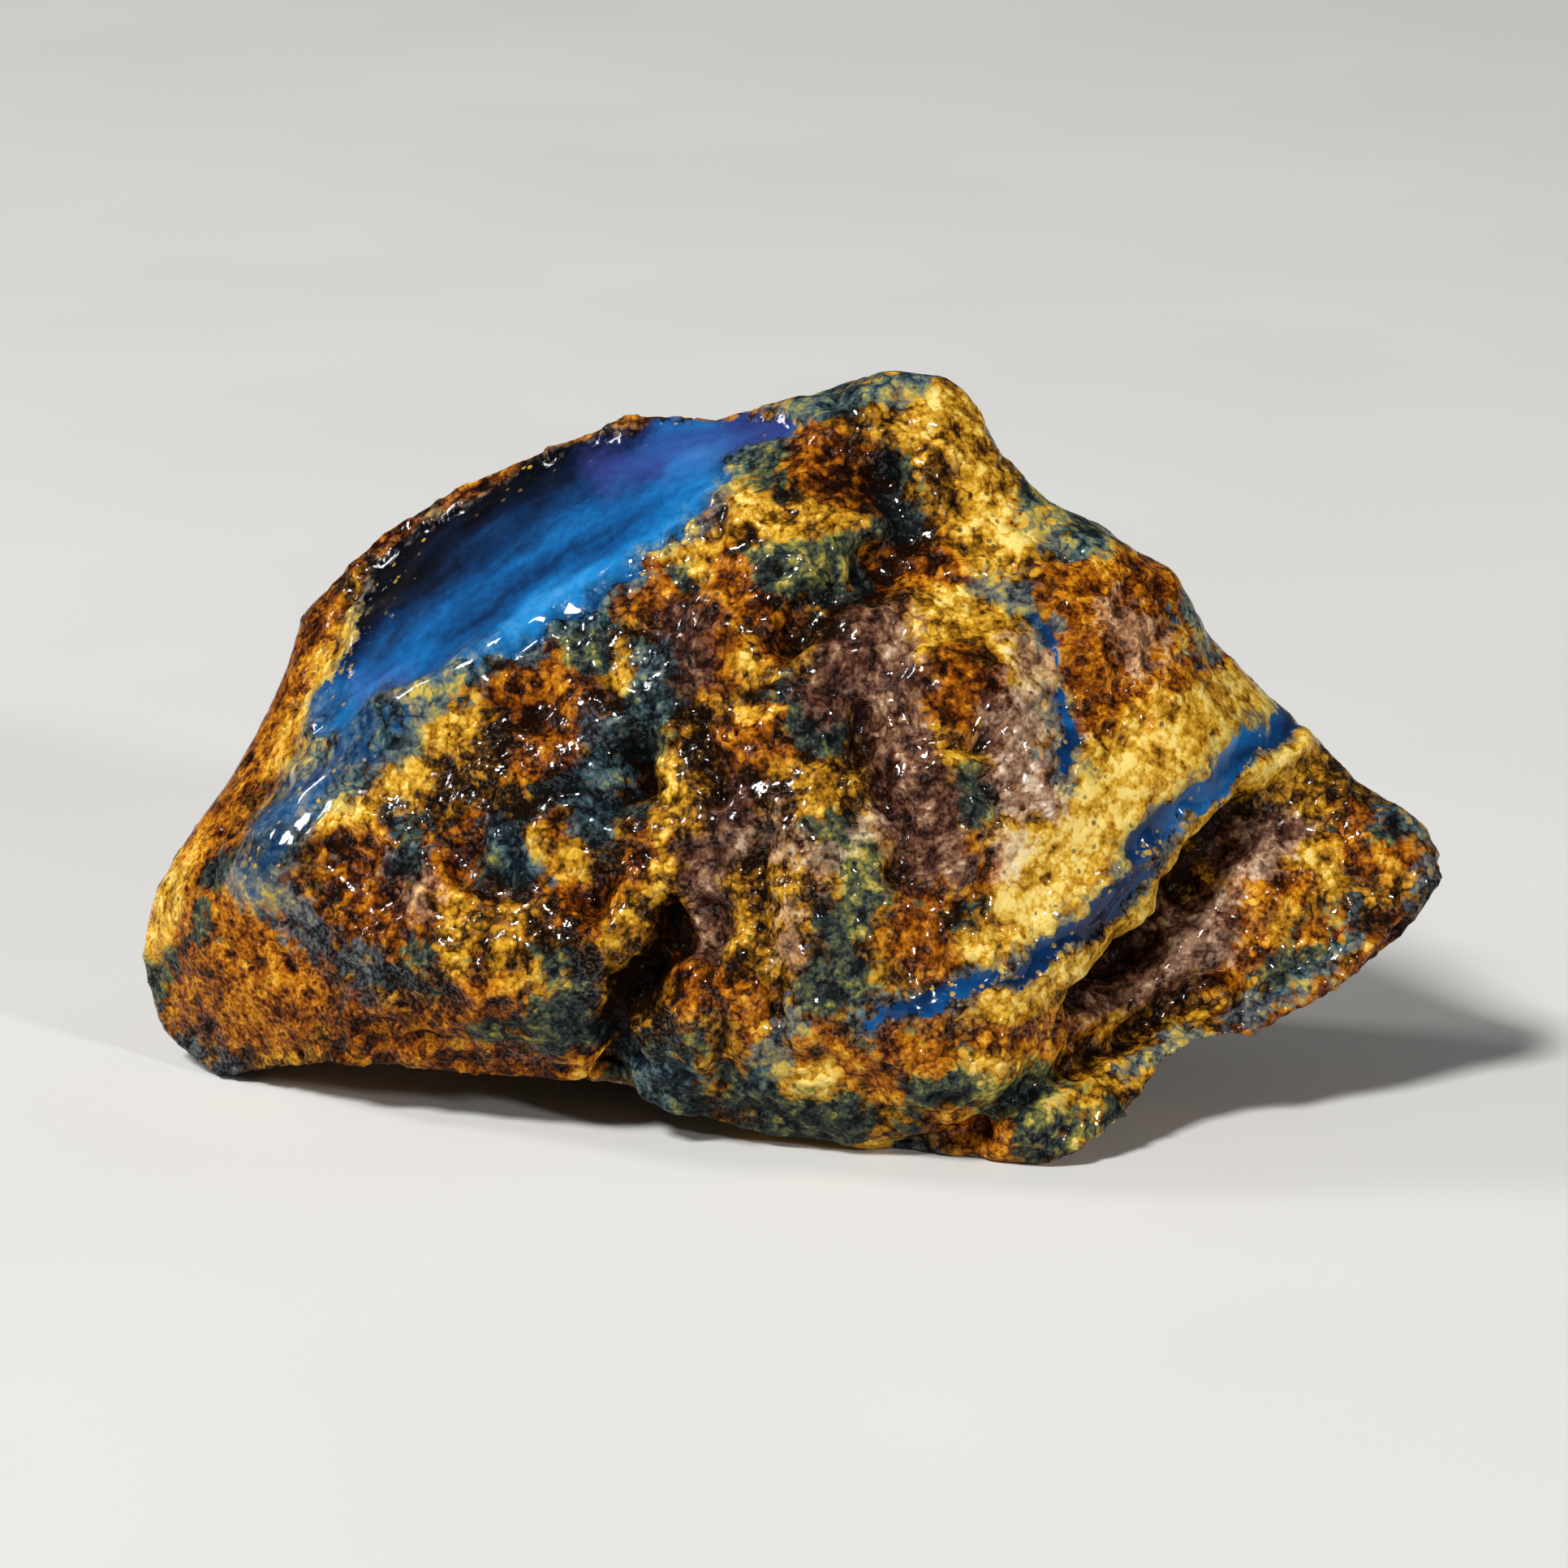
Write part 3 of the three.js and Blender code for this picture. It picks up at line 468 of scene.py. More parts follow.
def hashed(cell, seed):
    """A pseudo-random number from 0 to 1 for each corner of a lattice."""
    x, y, z = cell.T
    n = (x * 374761393 + y * 668265263 + z * 1440670441 + seed * 1274126177) & 0xFFFFFFFF
    n = ((n ^ (n >> 13)) * 1274126177) & 0xFFFFFFFF
    n = ((n ^ (n >> 15)) * 2246822519) & 0xFFFFFFFF
    return ((n ^ (n >> 16)) & 0xFFFF) / 0xFFFF


def noise(points, wave, seed):
    """Smooth noise from -1 to 1."""
    scaled = points / wave
    cell = np.floor(scaled).astype(np.int64)
    part = scaled - cell
    part = part * part * (3 - 2 * part)
    total = np.zeros(len(points))
    for corner in np.ndindex(2, 2, 2):
        weight = np.prod(np.where(corner, part, 1 - part), axis=1)
        total += weight * hashed(cell + corner, seed)
    return 2 * total - 1


def fractal(points, wave, octaves, seed):
    """Noise with finer and fainter noise on it, from about -1 to 1."""
    return sum(noise(points, wave / 2**i, seed + i) / 2**i for i in range(octaves)) / 1.6


def cells(points, wave, seed, named=False):
    """The distances to the nearest two of scattered points, as shares of the wave length.

    When named, the lattice corner of the nearest point comes with them.
    """
    scaled = points / wave
    cell = np.floor(scaled).astype(np.int64)
    nearest = np.full((2, len(points)), FAR)
    owner = np.zeros_like(cell)
    for step in np.ndindex(3, 3, 3):
        corner = cell + np.array(step) - 1
        jitter = np.stack([hashed(corner, seed + k) for k in range(3)], axis=1)
        distance = np.linalg.norm(corner + jitter - scaled, axis=1)
        owner = np.where((distance < nearest[0])[:, None], corner, owner)
        nearest[1] = np.minimum(nearest[1], np.maximum(nearest[0], distance))
        nearest[0] = np.minimum(nearest[0], distance)
    return (nearest, owner) if named else nearest


def wander(points, wave, seed):
    """Three noises that move points about."""
    return np.stack([noise(points, wave, seed + k) for k in range(3)], axis=1)


def path_distance(a, b, path):
    """How far each place is from a path, in mm."""
    nearest = np.full(len(a), FAR)
    for (a0, b0), (a1, b1) in zip(path, path[1:]):
        da, db = a1 - a0, b1 - b0
        t = np.clip(((a - a0) * da + (b - b0) * db) / (da * da + db * db), 0, 1)
        nearest = np.minimum(nearest, np.hypot(a - a0 - t * da, b - b0 - t * db))
    return nearest


def inside_strokes(a, b, strokes):
    """How far each place is inside the nearest stroke, in mm, and less than 0 outside."""
    depths = [half - path_distance(a, b, path) for half, *path in strokes]
    return np.max(depths, axis=0)


def inside_outline(a, b, outline):
    """How far each place is inside a closed outline, in mm, and less than 0 outside."""
    closed = [*outline, outline[0]]
    odd = np.zeros(len(a), bool)
    for (a0, b0), (a1, b1) in zip(closed, closed[1:]):
        if b0 != b1:
            odd ^= ((b0 > b) != (b1 > b)) & (a < a0 + (b - b0) * (a1 - a0) / (b1 - b0))
    return np.where(odd, 1, -1) * path_distance(a, b, closed)


def fine_copy(solid):
    """A copy of a solid with small, even faces, as a new object."""
    piece = bpy.data.objects.new("amber_surface", solid.data.copy())
    bpy.context.scene.collection.objects.link(piece)
    remesh = piece.modifiers.new("even faces", "REMESH")
    remesh.mode = "VOXEL"
    remesh.voxel_size = FACE_SIZE * MM
    graph = bpy.context.evaluated_depsgraph_get()
    piece.data = bpy.data.meshes.new_from_object(piece.evaluated_get(graph))
    piece.modifiers.clear()
    piece.data.materials.clear()
    return piece


def positions(mesh):
    flat = np.empty(len(mesh.vertices) * 3)
    mesh.vertices.foreach_get("co", flat)
    return flat.reshape(-1, 3) / MM


def set_positions(mesh, points):
    mesh.vertices.foreach_set("co", (points * MM).ravel())
    mesh.update()


def normals(mesh):
    flat = np.empty(len(mesh.vertices) * 3)
    mesh.vertex_normals.foreach_get("vector", flat)
    return flat.reshape(-1, 3)


class Neighbours:
    """Means over the vertices that share an edge with each vertex."""

    def __init__(self, mesh):
        ends = np.empty(len(mesh.edges) * 2, np.int64)
        mesh.edges.foreach_get("vertices", ends)
        ends = ends.reshape(-1, 2)
        self.here = np.concatenate([ends[:, 0], ends[:, 1]])
        self.there = np.concatenate([ends[:, 1], ends[:, 0]])
        self.count = np.bincount(self.here, minlength=len(mesh.vertices))

    def mean(self, values):
        total = np.bincount(self.here, weights=values[self.there], minlength=len(values))
        return total / self.count

    def blurred(self, values, rounds):
        for _ in range(rounds):
            values = (values + self.mean(values)) / 2
        return values

    def means(self, points):
        return np.stack([self.mean(points[:, k]) for k in range(3)], axis=1)

    def blended(self, directions):
        """Directions averaged with those round them, which makes them shorter where the surface bends."""
        return np.stack([self.blurred(directions[:, k], TURN_ROUNDS) for k in range(3)], axis=1)

    def softened(self, directions):
        """Directions brought nearer to those of their neighbours."""
        directions = self.blended(directions)
        return directions / np.linalg.norm(directions, axis=1, keepdims=True)

    def rounded(self, points, directions):
        """The points at sharp edges drawn to their neighbours, which wears the edges down."""
        sharpness = 1 - np.linalg.norm(self.blended(directions), axis=1)
        share = 0.5 * smoothstep(0.01, 0.08, sharpness)[:, None]
        for _ in range(EDGE_ROUNDS):
            points = points + share * (self.means(points) - points)
        return points

    def settled(self, points):
        """The points drawn a little to their neighbours, which takes spikes away."""
        return points + SETTLING * (self.means(points) - points)

    def smoothed(self, points):
        """The points drawn to their neighbours and back out again, which keeps the form's size."""
        for _ in range(SMOOTH_ROUNDS):
            for step in (SMOOTH_IN, SMOOTH_OUT):
                points = points + step * (self.means(points) - points)
        return points


def warped(points, a, b):
    """The places a and b moved about by noise, which makes the markings' edges ragged."""
    return (
        a + 0.5 * noise(points, 2.3, 11) + 0.25 * noise(points, 1.0, 13),
        b + 0.5 * noise(points, 2.3, 12) + 0.25 * noise(points, 1.0, 14),
    )


def front_masks(a, b):
    """How far inside each marking of the front every place is, in mm."""
    strokes = {
        "blue": BLUE, "purple": PURPLE, "yellow": YELLOW, "rust": RUST, "plum": PLUM, "pale": PALE_AND_SHEEN,
        "cool": COOL, "slate": SLATE, "calm": CALM, "sponge": SPONGE, "lip": LIP,
    }
    masks = {name: inside_strokes(a, b, table) for name, table in strokes.items()}
    masks["blue"] = np.maximum(masks["blue"], inside_outline(a, b, WINDOW))
    return masks


def hidden_masks(points):
    """The same for the hidden sides, laid out by noise, with no bare amber near the ground."""
    moved = points + 3.5 * wander(points, 8.0, 501) + 1.2 * wander(points, 2.6, 504)
    masks = {name: gain * (fractal(moved, wave, 3, seed) - rare) for name, wave, gain, rare, seed in HIDDEN}
    masks["blue"] -= 4 * smoothstep(BARE_FULL, BARE_NONE, points[:, 2])
    masks["lip"] = np.full(len(points), -2.0)
    return masks


def all_masks(points, a, b, front):
    """The masks of the front and of the hidden sides in one, with ragged edges.

    The lip keeps other crust off, and the halo is a dull rim round the bare amber. The bare amber frays where
    the window's lower edge thins out and on the worn ridge.
    """
    shown, hidden = front_masks(a, b), hidden_masks(points)
    masks = {}
    for seed, (name, (share, tall, wave)) in enumerate(RAGGED.items()):
        depth = shown[name] * front + hidden[name] * (1 - front)
        masks[name] = share * depth + tall * fractal(points, wave, 4, 300 + 10 * seed)
    lip = soft(masks["lip"], 0.3)
    masks["calm"] = np.maximum(masks["calm"], masks["lip"])
    masks["yellow"] = np.maximum(masks["yellow"], masks["lip"])
    for name in ("rust", "cool", "slate", "plum", "pale"):
        masks[name] -= 2 * lip
    masks["sleek"] = front * smoothstep(-0.8, 0.5, inside_strokes(a, b, SLEEK))
    masks["fray"] = front * smoothstep(-1.8, 0.4, inside_strokes(a, b, BRIGHT))
    masks["blue"] += (1.5 * masks["fray"] + 0.9 * masks["sleek"]) * fractal(points, 1.4, 3, 421)
    masks["halo"] = masks["blue"] - 1.2 * lip + 0.9 * masks["fray"] + 0.9 * masks["sleek"]
    return masks


def soft(mask, blur=0.6):
    """A mask's share from 0 to 1, with an edge as wide as twice the blur."""
    return smoothstep(-blur, blur, mask)


def crust_walls(points):
    """From 0 in the crust's pits to 1 on the walls between them."""
    moved = points + 1.8 * wander(points, 4.1, 201) + 0.6 * wander(points, 1.5, 204)
    near, beyond = cells(moved, 4.0, 207)
    small, more = cells(moved, 2.3, 217)
    both = smoothstep(0.4, 0.04, beyond - near), smoothstep(0.45, 0.04, more - small)
    share = smoothstep(-0.3, 0.3, noise(points, 6.0, 219))
    return both[0] * share + both[1] * (1 - share)


def crust_pits(points):
    """From 0 on the crust to 1 in its small round pits."""
    moved = points + 0.5 * wander(points, 1.4, 235)
    size = 0.07 * noise(points, 3.5, 238)
    return smoothstep(0.3, 0.12, cells(moved, 1.7, 231)[0] + size)


def crust_chunks(points):
    """The crust's coarse grains: a dome on each from 1 down to 0, and two numbers of its own from -1 to 1."""
    moved = points + 0.8 * wander(points, 1.1, 341)
    near, own = cells(moved, 1.8, 345, True)
    return 1 - 2.2 * near[0] ** 2, 2 * hashed(own, 347) - 1, 2 * hashed(own, 348) - 1


def crust_height(points, masks, walls, pits, chunks):
    """The height of the crust's own grain, in mm: walls, lumps, pits, grains and folds."""
    lumps = fractal(points, 4.6, 4, 225)
    flakes = np.tanh(5 * fractal(points, 2.1, 3, 265))
    grains = 0.5 - cells(points + 0.4 * wander(points, 1.2, 211), 1.3, 215)[0]
    rough = 0.32 * walls + 0.42 * lumps + 0.16 * flakes + 0.16 * grains + 0.1 * chunks - 0.24 * pits - 0.1
    calm = 0.22 * lumps + 0.08 * grains + 0.05 * flakes - 0.26 * pits
    stretched = (points + 1.1 * wander(points, 2.8, 241)) * (1, 1, 0.35)
    folds = 1 - 2.4 * np.abs(noise(stretched, 1.7, 244))
    skin = 0.24 * folds + 0.4 * lumps + 0.1 * flakes
    narrow = smoothstep(1.6, 0.8, masks["blue"])
    bare = -0.25 + 0.1 * fractal(points, 4.0, 2, 251) + 0.24 * narrow * fractal(points, 1.9, 2, 255)
    height = rough + (calm - rough) * soft(masks["calm"])
    height += (skin - height) * soft(masks["plum"])
    height += (bare - height) * smoothstep(-0.3, 0.35, masks["blue"])
    worn = 0.22 * fractal(points, 2.4, 2, 259) + 0.08 * fractal(points, 1.2, 2, 261)
    return height + (worn - height) * masks["sleek"]


def relief_height(points, a, b):
    """The height of the clefts, ledges and ribs, in mm."""
    total = np.zeros(len(a))
    spread = 1 + 0.5 * noise(points, 1.9, 271)
    strength = 1 + 0.3 * noise(points, 2.7, 272)
    for _, half, height, *path in RELIEF:
        total += height * strength * np.exp(-((path_distance(a, b, path) / half / spread) ** 2))
    return total


def crust_tone(points, masks, walls, pits, hollow):
    """How light the crust is, from -1 in dark pits to 1 on cream-coloured tops, with painted shade in the
    relief's hollows and painted light on its tops.
    """
    tone = 0.35 * walls - 0.66 + 0.45 * fractal(points, 1.5, 3, 281) + 0.3 * fractal(points, 6.5, 2, 285)
    calm = soft(masks["calm"])
    tone += 0.7 * soft(masks["yellow"]) + 0.18 * soft(masks["rust"]) + 0.2 * calm - 0.6 * pits * calm
    # Painted shade and light: darker in the relief's hollows, lighter on its tops.
    tone += np.clip(0.8 * hollow, -0.5, 0.4)
    return np.maximum(tone, 0.5 * tone - 0.3)


def tone_and_painted_light(a, b):
    """How much lighter or darker than elsewhere the crust of the front is, as its own tone and as painted
    light and shade.
    """
    total = np.zeros(len(a))
    for amount, half, *path in TONE_AND_PAINTED_LIGHT:
        total += amount * soft(half - path_distance(a, b, path), 1.6)
    return total


def bare_tone(points, a, b, front):
    """How light the bare amber is, from -1 where nearly black as painted shade to 1, with streaks along the
    window and painted light at its lower edge.
    """
    along = 0.8 * a + 0.6 * b
    across = 0.8 * b - 0.6 * a
    depth = points @ TOWARDS
    streaks = fractal(np.stack([along / 6, across, depth / 3], axis=1), 1.3, 3, 401)
    streaks += 0.35 * fractal(np.stack([along / 8, across, depth / 3], axis=1), 0.5, 2, 431)
    pools = fractal(points, 6, 3, 411)
    outside = soft(-inside_outline(a, b, WINDOW), 1.0)
    # Painted shade for the amber's unlit depth, and painted light along the window's lower edge.
    dark = soft(inside_outline(a, b, NAVY_SHADE) + 1.2 * streaks, 1.6) * front
    bright = smoothstep(-2.4, 0.4, inside_strokes(a, b, BRIGHT)) * front
    return 0.1 + 0.3 * pools + 0.6 * streaks + 0.25 * bright - 0.85 * dark - 0.28 * outside


def store(mesh, name, values, kind="FLOAT", part="value"):
    """A value for each vertex, as an attribute that the material reads."""
    layer = mesh.attributes.new(name, kind, "POINT")
    layer.data.foreach_set(part, values.astype(np.float32).ravel())


def make_amber():
    """The fine surface of the piece, with its relief, and its markings as attributes."""
    piece = fine_copy(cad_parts["amber"])
    mesh = piece.data
    neighbours = Neighbours(mesh)
    points = neighbours.smoothed(positions(mesh))
    set_positions(mesh, points)
    points = neighbours.rounded(points, normals(mesh))
    set_positions(mesh, points)
    outward = neighbours.softened(normals(mesh))
    a, b = view_places(points)
    wa, wb = warped(points, a, b)
    front = smoothstep(-FRONT_BLEND, FRONT_BLEND, outward @ TOWARDS)
    masks = all_masks(points, wa, wb, front)
    walls, pits = crust_walls(points), crust_pits(points)
    domes, kinds, tones = crust_chunks(points)
    for name, share in CHUNK_SHARES.items():
        masks[name] += share * kinds
    height = crust_height(points, masks, walls, pits, domes)
    height *= smoothstep(-0.25, 0.5, np.abs(outward @ TOWARDS)) * smoothstep(0, GROUND_FADE, points[:, 2])
    height += front * relief_height(points, wa, wb)
    hollow = height - neighbours.blurred(height, HOLLOW_ROUNDS)
    tone = crust_tone(points, masks, walls, pits, hollow)
    fields = {
        "blue": masks["blue"],
        "halo": masks["halo"],
        "purple": masks["purple"],
        "plum": masks["plum"],
        # The pale cream gathers on the relief's tops, as painted light.
        "pale": masks["pale"] + hollow,
        "cool": masks["cool"] + 0.7 - 1.3 * soft(masks["rust"]) - 0.9 * soft(masks["yellow"]),
        "rust": masks["rust"] + 0.25 - 0.8 * soft(masks["yellow"]),
        "slate": masks["slate"],
        "tone": tone + CHUNK_TONE * tones + front * tone_and_painted_light(wa, wb),
        "even": soft(masks["calm"], 0.8),
        "sponge": soft(masks["sponge"], 0.9),
        "sleek": masks["sleek"],
        "fray": masks["fray"],
        "depth": bare_tone(points, wa, wb, front),
        "rise": height,
        "wet": smoothstep(-0.7, -0.1, outward[:, 2]) * smoothstep(-1.6, -0.8, height),
    }
    places = points
    points = neighbours.settled(points + outward * height[:, None])
    points[:, 2] = np.maximum(points[:, 2], 0)
    set_positions(mesh, points)
    for name, values in fields.items():
        store(mesh, name, np.clip(values, -FIELD_LIMIT, FIELD_LIMIT))
    strands = np.hypot(a - DOME[0], b - DOME[1]) * front + places[:, 0] * (1 - front)
    strands = strands / 0.9 + 2.6 * noise(places, 4.0, 361) + 0.9 * noise(places, 1.6, 362)
    store(mesh, "strands", 2 * np.pi * strands)
    store(mesh, "sway", 0.4 * wander(places, 1.1, 351), "FLOAT_VECTOR", "vector")
    mesh.shade_smooth()
    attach(piece, "root")
    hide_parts("amber")
    return piece


def colour(code):
    """A linear colour from a six-digit sRGB code."""
    parts = [int(code[i:i + 2], 16) / 255 for i in (0, 2, 4)]
    return (*[c / 12.92 if c <= 0.04045 else ((c + 0.055) / 1.055) ** 2.4 for c in parts], 1)


class Shader:
    """A material's node tree, with short calls for the nodes that it needs."""

    def __init__(self, name):
        self.material = bpy.data.materials.new(name)
        self.material.use_nodes = True
        self.tree = self.material.node_tree
        self.surface = self.tree.nodes["Principled BSDF"]
        place_node = self.tree.nodes.new("ShaderNodeTexCoord")
        self.place = self.vector("MULTIPLY", place_node.outputs["Object"], (1 / MM,) * 3)

    def node(self, kind, inputs, output=0, **settings):
        made = self.tree.nodes.new(kind)
        for key, value in settings.items():
            setattr(made, key, value)
        for key, value in inputs.items():
            if isinstance(value, bpy.types.NodeSocket):
                self.tree.links.new(value, made.inputs[key])
            else:
                made.inputs[key].default_value = value
        return made.outputs[output]

    def vector(self, operation, first, second):
        return self.node("ShaderNodeVectorMath", {0: first, 1: second}, operation=operation)

    def math(self, operation, first, second=0.0, third=0.0):
        return self.node("ShaderNodeMath", {0: first, 1: second, 2: third}, operation=operation)

    def mask(self, name):
        return self.node("ShaderNodeAttribute", {}, "Fac", attribute_name=name)

    def noise(self, wave, detail, roughness=0.55, distortion=0.0, shift=0.0):
        """Noise round 0, mostly from -1 to 1, with a wave length in mm."""
        place = self.place
        if shift:
            place = self.vector("ADD", place, (shift, -shift, shift * 0.7))
        inputs = {
            "Vector": place, "Scale": 1 / wave, "Detail": detail,
            "Roughness": roughness, "Distortion": distortion,
        }
        made = self.node("ShaderNodeTexNoise", inputs, "Fac")
        return self.math("MULTIPLY_ADD", made, 6.0, -3.0)

    def grains(self, wave, place):
        """Grains round scattered points: a dome on each from 1 down, and two numbers of its own, -1 to 1."""
        inputs = {"Vector": place, "Scale": 1 / wave}
        near = self.node("ShaderNodeTexVoronoi", inputs, "Distance")
        own = self.node("ShaderNodeSeparateXYZ", {0: near.node.outputs["Color"]})
        dome = self.math("MULTIPLY_ADD", self.math("MULTIPLY", near, near), -2.2, 1.0)
        numbers = [self.math("MULTIPLY_ADD", own.node.outputs[k], 2.0, -1.0) for k in range(2)]
        return dome, *numbers

    def step(self, value, low, high, to_low=0.0, to_high=1.0):
        """value brought from low..high to to_low..to_high, smoothly."""
        inputs = {"Value": value, "From Min": low, "From Max": high, "To Min": to_low, "To Max": to_high}
        return self.node("ShaderNodeMapRange", inputs, interpolation_type="SMOOTHSTEP")

    def ramp(self, value, *codes):
        """Colours spread evenly from -1 to 1."""
        made = self.tree.nodes.new("ShaderNodeValToRGB")
        self.tree.links.new(self.math("MULTIPLY_ADD", value, 0.5, 0.5), made.inputs[0])
        stops = made.color_ramp.elements
        for i, code in enumerate(codes):
            stop = stops[i] if i < 2 else stops.new(1)
            stop.position = i / (len(codes) - 1)
            stop.color = colour(code)
        return made.outputs["Color"]

    def mix_value(self, share, first, second):
        """first where the share is 0, second where it is 1."""
        return self.math("MULTIPLY_ADD", self.math("SUBTRACT", second, first), share, first)

    def mix(self, share, first, second):
        inputs = {"Factor": share, "A": first, "B": second}
        made = self.tree.nodes.new("ShaderNodeMix")
        made.data_type = "RGBA"
        for key, value in inputs.items():
            socket = next(s for s in made.inputs if s.name == key and s.enabled)
            if isinstance(value, bpy.types.NodeSocket):
                self.tree.links.new(value, socket)
            else:
                socket.default_value = value
        return next(s for s in made.outputs if s.enabled)


def amber_material():
    """Crust in ochre, rust, plum, slate and brown over glossy blue amber, as if wet."""
    s = Shader("rough_blue_amber")
    middle = s.noise(0.8, 2, 0.5, 0.3, shift=7)
    fine = s.noise(0.25, 1, 0.6, shift=13)
    sway = s.node("ShaderNodeAttribute", {}, "Vector", attribute_name="sway")
    crumb, crumb_kind, crumb_tone = s.grains(0.6, s.vector("ADD", s.place, sway))
    dot = s.grains(0.9, s.place)[0]
    even, sleek = s.mask("even"), s.mask("sleek")
    blue, rise = s.mask("blue"), s.mask("rise")

    def total(*terms):
        """The sum of values, each with its weight."""
        result = 0.0
        for weight, value in terms:
            result = s.math("MULTIPLY_ADD", value, weight, result)
        return result

    edge = total((0.45, crumb_kind), (0.35, middle), (0.15, fine))
    skin = s.step(s.mask("plum"), -0.5, 0.5)
    strand = s.math("MULTIPLY", s.math("SINE", s.mask("strands")), skin)
    strand = s.math("MULTIPLY", strand, s.step(middle, -0.5, 0.5))
    hole = s.math("MULTIPLY", s.step(crumb, 0.4, 0.92), s.step(middle, -0.4, 0.3))
    hole = s.math("MULTIPLY", s.mask("sponge"), hole)
    crumbs = total((0.36, crumb_tone), (0.32, crumb))
    crumbs = s.math("MULTIPLY", crumbs, s.math("MULTIPLY_ADD", even, -0.3, 1.0))
    grain = total((1.0, crumbs), (0.32, middle), (0.22, fine), (0.14, strand), (-0.7, hole))
    tone = total((1.0, s.mask("tone")), (1.0, grain), (1.0, TONE_SHIFT))

    def share(name, blur, raggedness=0.35, shift=0.0):
        ragged = s.math("MULTIPLY_ADD", edge, raggedness, s.mask(name))
        return s.step(ragged, -blur - shift, blur - shift)

    ochre = s.ramp(tone, *OCHRE_COLOURS)
    rust = s.ramp(tone, *RUST_COLOURS)
    cool = s.ramp(tone, *COOL_COLOURS)
    plum = s.ramp(tone, *PLUM_COLOURS)
    pale = s.ramp(tone, *PALE_AND_SHEEN_COLOURS)
    slate = s.ramp(tone, *SLATE_COLOURS)
    rusty = share("rust", 0.5, 0.9)
    crust = s.mix(rusty, ochre, rust)
    crust = s.mix(share("cool", 0.3, 1.0), crust, cool)
    crust = s.mix(share("plum", 0.5, 0.6), crust, plum)
    # Pale pinkish cream, partly painted sheen.
    crust = s.mix(s.math("MULTIPLY", share("pale", 0.5, 1.0), 0.5), crust, pale)
    crust = s.mix(s.math("MULTIPLY", share("slate", 0.3, 0.9), 0.85), crust, slate)
    halo = s.math("MULTIPLY", share("halo", 0.5, 1.0, 0.55), s.math("MULTIPLY_ADD", rusty, -0.7, 0.8))
    crust = s.mix(halo, crust, slate)
    specks = s.math("MULTIPLY", s.step(dot, 0.86, 0.97), s.step(middle, -0.1, 0.3))
    crust = s.mix(s.math("MULTIPLY", specks, 0.75), crust, colour(SPECK_COLOUR))
    # Painted shade: the crust turns nearly black where the relief sinks deepest, in the clefts.
    crust = s.mix(s.step(rise, -1.1, -2.4, 0.0, 0.9), crust, colour(CLEFT_SHADE_COLOUR))
    bare = share("blue", 0.1, 0.42)
    deep = s.ramp(total((1.0, s.mask("depth")), (0.15, grain)), *DEEP_COLOURS)
    deep = s.mix(s.math("MULTIPLY", share("purple", 0.9), 0.45), deep, colour(PURPLE_COLOUR))
    dull = s.math("MULTIPLY", s.step(blue, 1.8, 0.1), s.mask("fray"))
    duller = s.math("MAXIMUM", s.math("MULTIPLY", dull, 0.6), s.math("MULTIPLY", sleek, 0.4))
    deep = s.mix(duller, deep, slate)
    dots = s.math("MULTIPLY", s.step(dot, 0.88, 0.97), s.step(blue, 1.3, -0.2))
    dots = s.math("MULTIPLY", dots, s.step(middle, -0.2, 0.3))
    deep = s.mix(dots, deep, colour(DOT_COLOUR))
    look = s.mix(bare, crust, deep)
    s.tree.links.new(look, s.surface.inputs["Base Color"])
    rough = s.step(tone, -0.6, 0.9, *CRUST_ROUGHNESS)
    rough = s.mix_value(bare, rough, BARE_ROUGHNESS)
    s.tree.links.new(rough, s.surface.inputs["Roughness"])
    s.surface.inputs["IOR"].default_value = AMBER_IOR
    s.surface.inputs["Specular IOR Level"].default_value = DRY_REFLECTION
    gloss = s.step(total((1.0, fine), (0.3, skin)), -0.05, 0.4)
    gloss = s.math("MULTIPLY", gloss, s.math("MULTIPLY_ADD", s.mask("sponge"), -0.7, 1.0))
    gloss = s.math("MAXIMUM", s.math("MULTIPLY", gloss, s.mask("wet")), sleek)
    s.tree.links.new(s.mix_value(bare, gloss, BARE_COAT), s.surface.inputs["Coat Weight"])
    s.surface.inputs["Coat Roughness"].default_value = COAT_ROUGHNESS
    s.surface.inputs["Coat IOR"].default_value = COAT_IOR
    bumps = total((0.028, middle), (0.045, crumb), (0.006, fine))
    bumps = s.math("MULTIPLY", bumps, s.math("MULTIPLY_ADD", even, -0.5, 1.0))
    bumps = total((1.0, bumps), (0.06, strand), (-0.1, hole))
    bumps = s.math("MULTIPLY", bumps, s.math("MULTIPLY_ADD", sleek, -0.7, 1.0))
    bare_bumps = s.math("MULTIPLY_ADD", dull, 0.5, s.step(blue, 1.6, 0.9, 0.06, 0.45))
    height = s.math("MULTIPLY", bumps, s.mix_value(bare, 1.0, bare_bumps))
    inputs = {"Strength": 1.0, "Distance": MM, "Height": height}
    s.tree.links.new(s.node("ShaderNodeBump", inputs), s.surface.inputs["Normal"])
    return s.material


def make_floor():
    """A wide, pale, level floor."""
    corners = [(x * FLOOR_HALF, y * FLOOR_HALF, 0) for x, y in ((-1, -1), (1, -1), (1, 1), (-1, 1))]
    mesh = bpy.data.meshes.new("floor")
    mesh.from_pydata(corners, [], [(0, 1, 2, 3)])
    floor = bpy.data.objects.new("floor", mesh)
    bpy.context.scene.collection.objects.link(floor)
    s = Shader("pale_floor")
    s.tree.links.new(s.ramp(s.noise(60, 2), *FLOOR_COLOURS), s.surface.inputs["Base Color"])
    s.surface.inputs["Roughness"].default_value = FLOOR_ROUGHNESS
    mesh.materials.append(s.material)


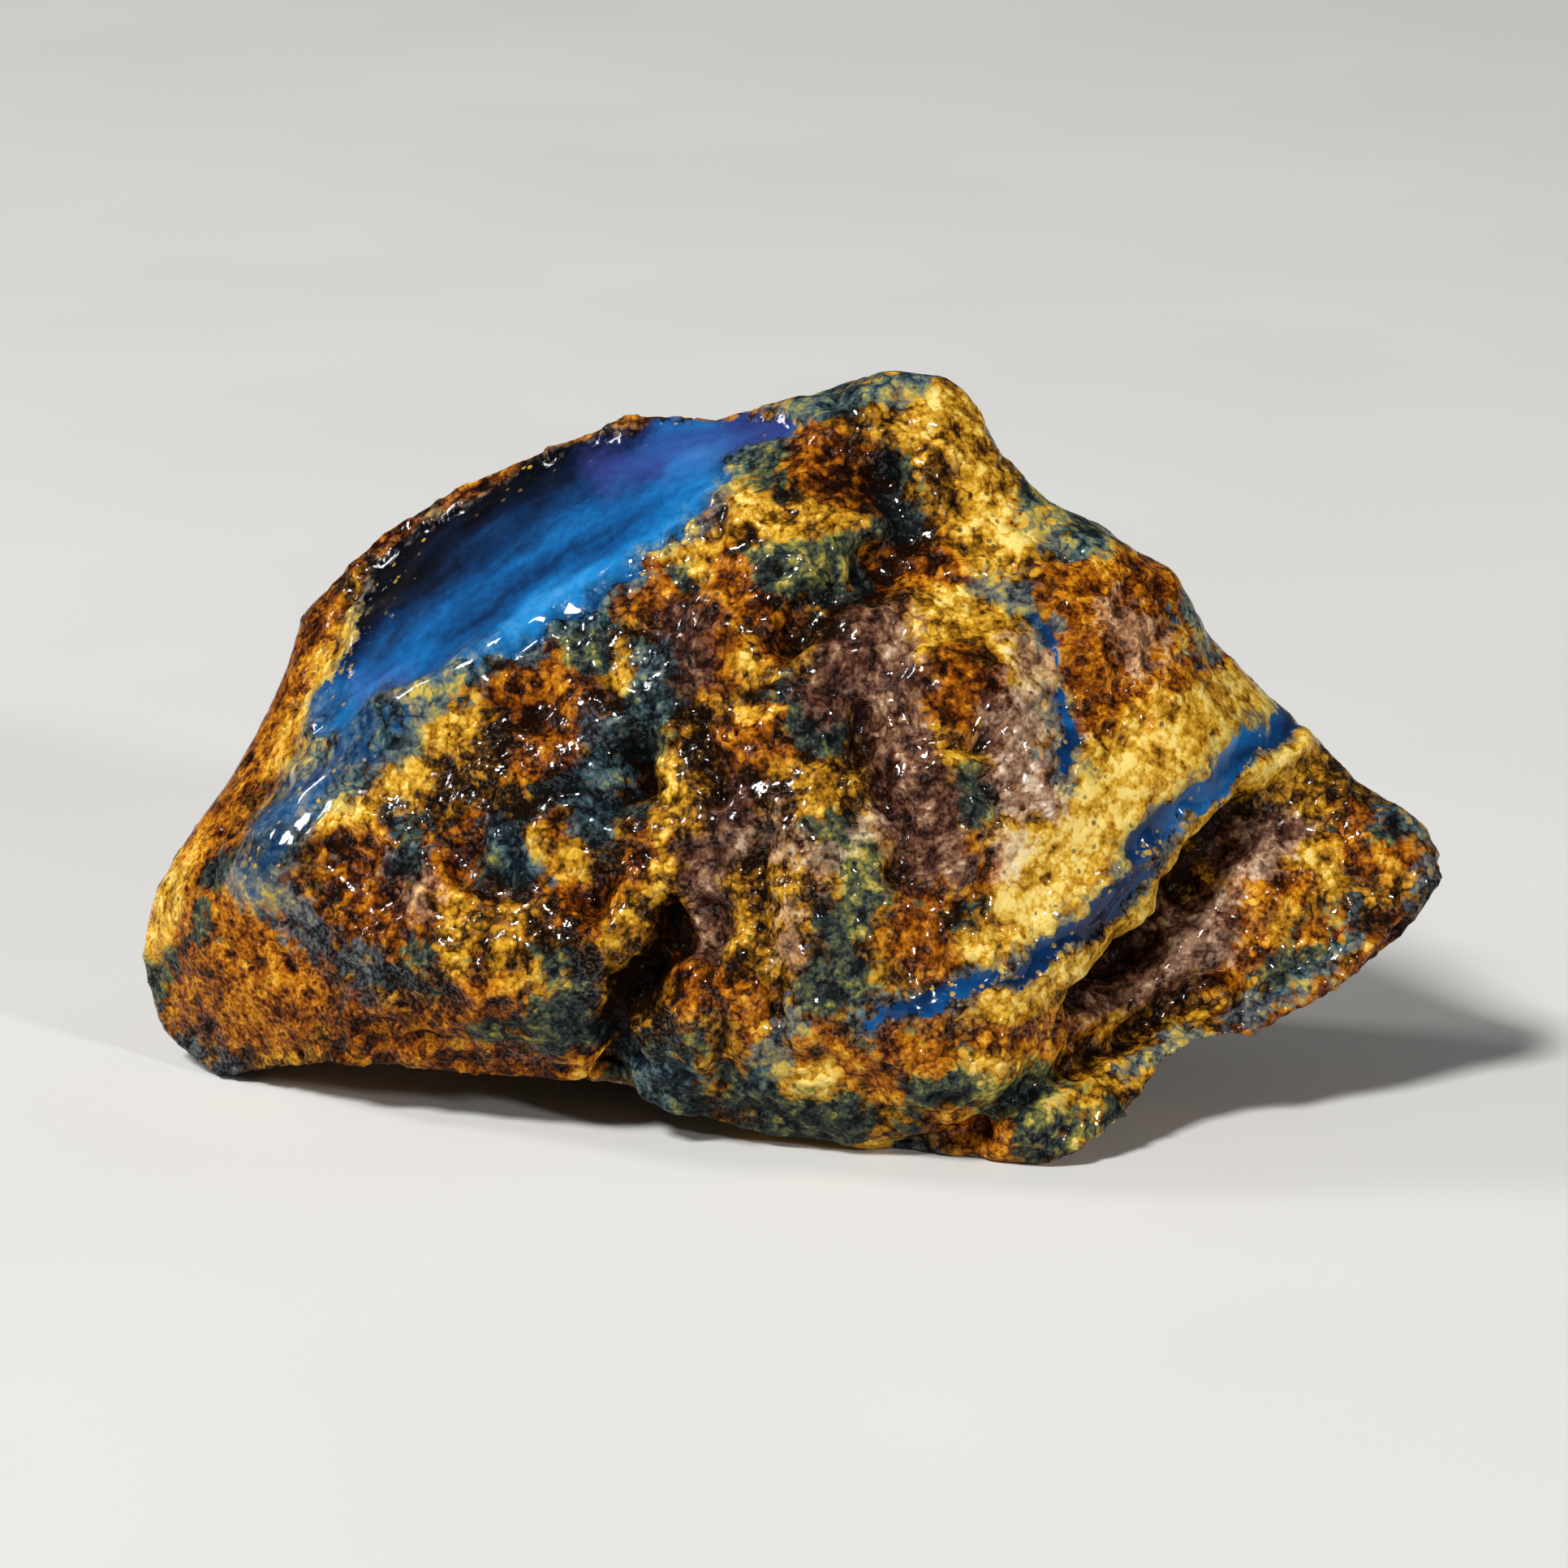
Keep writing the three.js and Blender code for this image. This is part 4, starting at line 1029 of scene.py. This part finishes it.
def make_light(name, at, size, power, aim):
    data = bpy.data.lights.new(name, "AREA")
    data.size, data.energy = size, power
    light = bpy.data.objects.new(name, data)
    bpy.context.scene.collection.objects.link(light)
    light.location = at
    light.rotation_mode = "QUATERNION"
    light.rotation_quaternion = (aim - Vector(at)).to_track_quat("-Z", "Y")


def make_studio():
    aim = Vector(ORIGIN * MM)
    for name, at, size, power in LIGHTS:
        make_light(name, at, size, power, aim)
    world = bpy.data.worlds.new("studio")
    world.use_nodes = True
    background = world.node_tree.nodes["Background"]
    background.inputs["Color"].default_value = (1, 1, 1, 1)
    background.inputs["Strength"].default_value = WORLD_STRENGTH
    bpy.context.scene.world = world
    bpy.context.scene.view_settings.view_transform = "Standard"


def make_camera():
    data = bpy.data.cameras.new("camera")
    camera = bpy.data.objects.new("camera", data)
    bpy.context.scene.collection.objects.link(camera)
    camera.location = Vector(place(0, 0, VIEW_DISTANCE) * MM)
    camera.rotation_euler = (math.pi / 2 - VIEW_ELEVATION, 0, 0)
    data.sensor_width = SENSOR_WIDTH
    data.lens = SENSOR_WIDTH * VIEW_DISTANCE / VIEW_WIDTH
    data.clip_start, data.clip_end = 0.01, 10
    bpy.context.scene.camera = camera


make_camera()
make_amber().data.materials.append(amber_material())
make_floor()
make_studio()
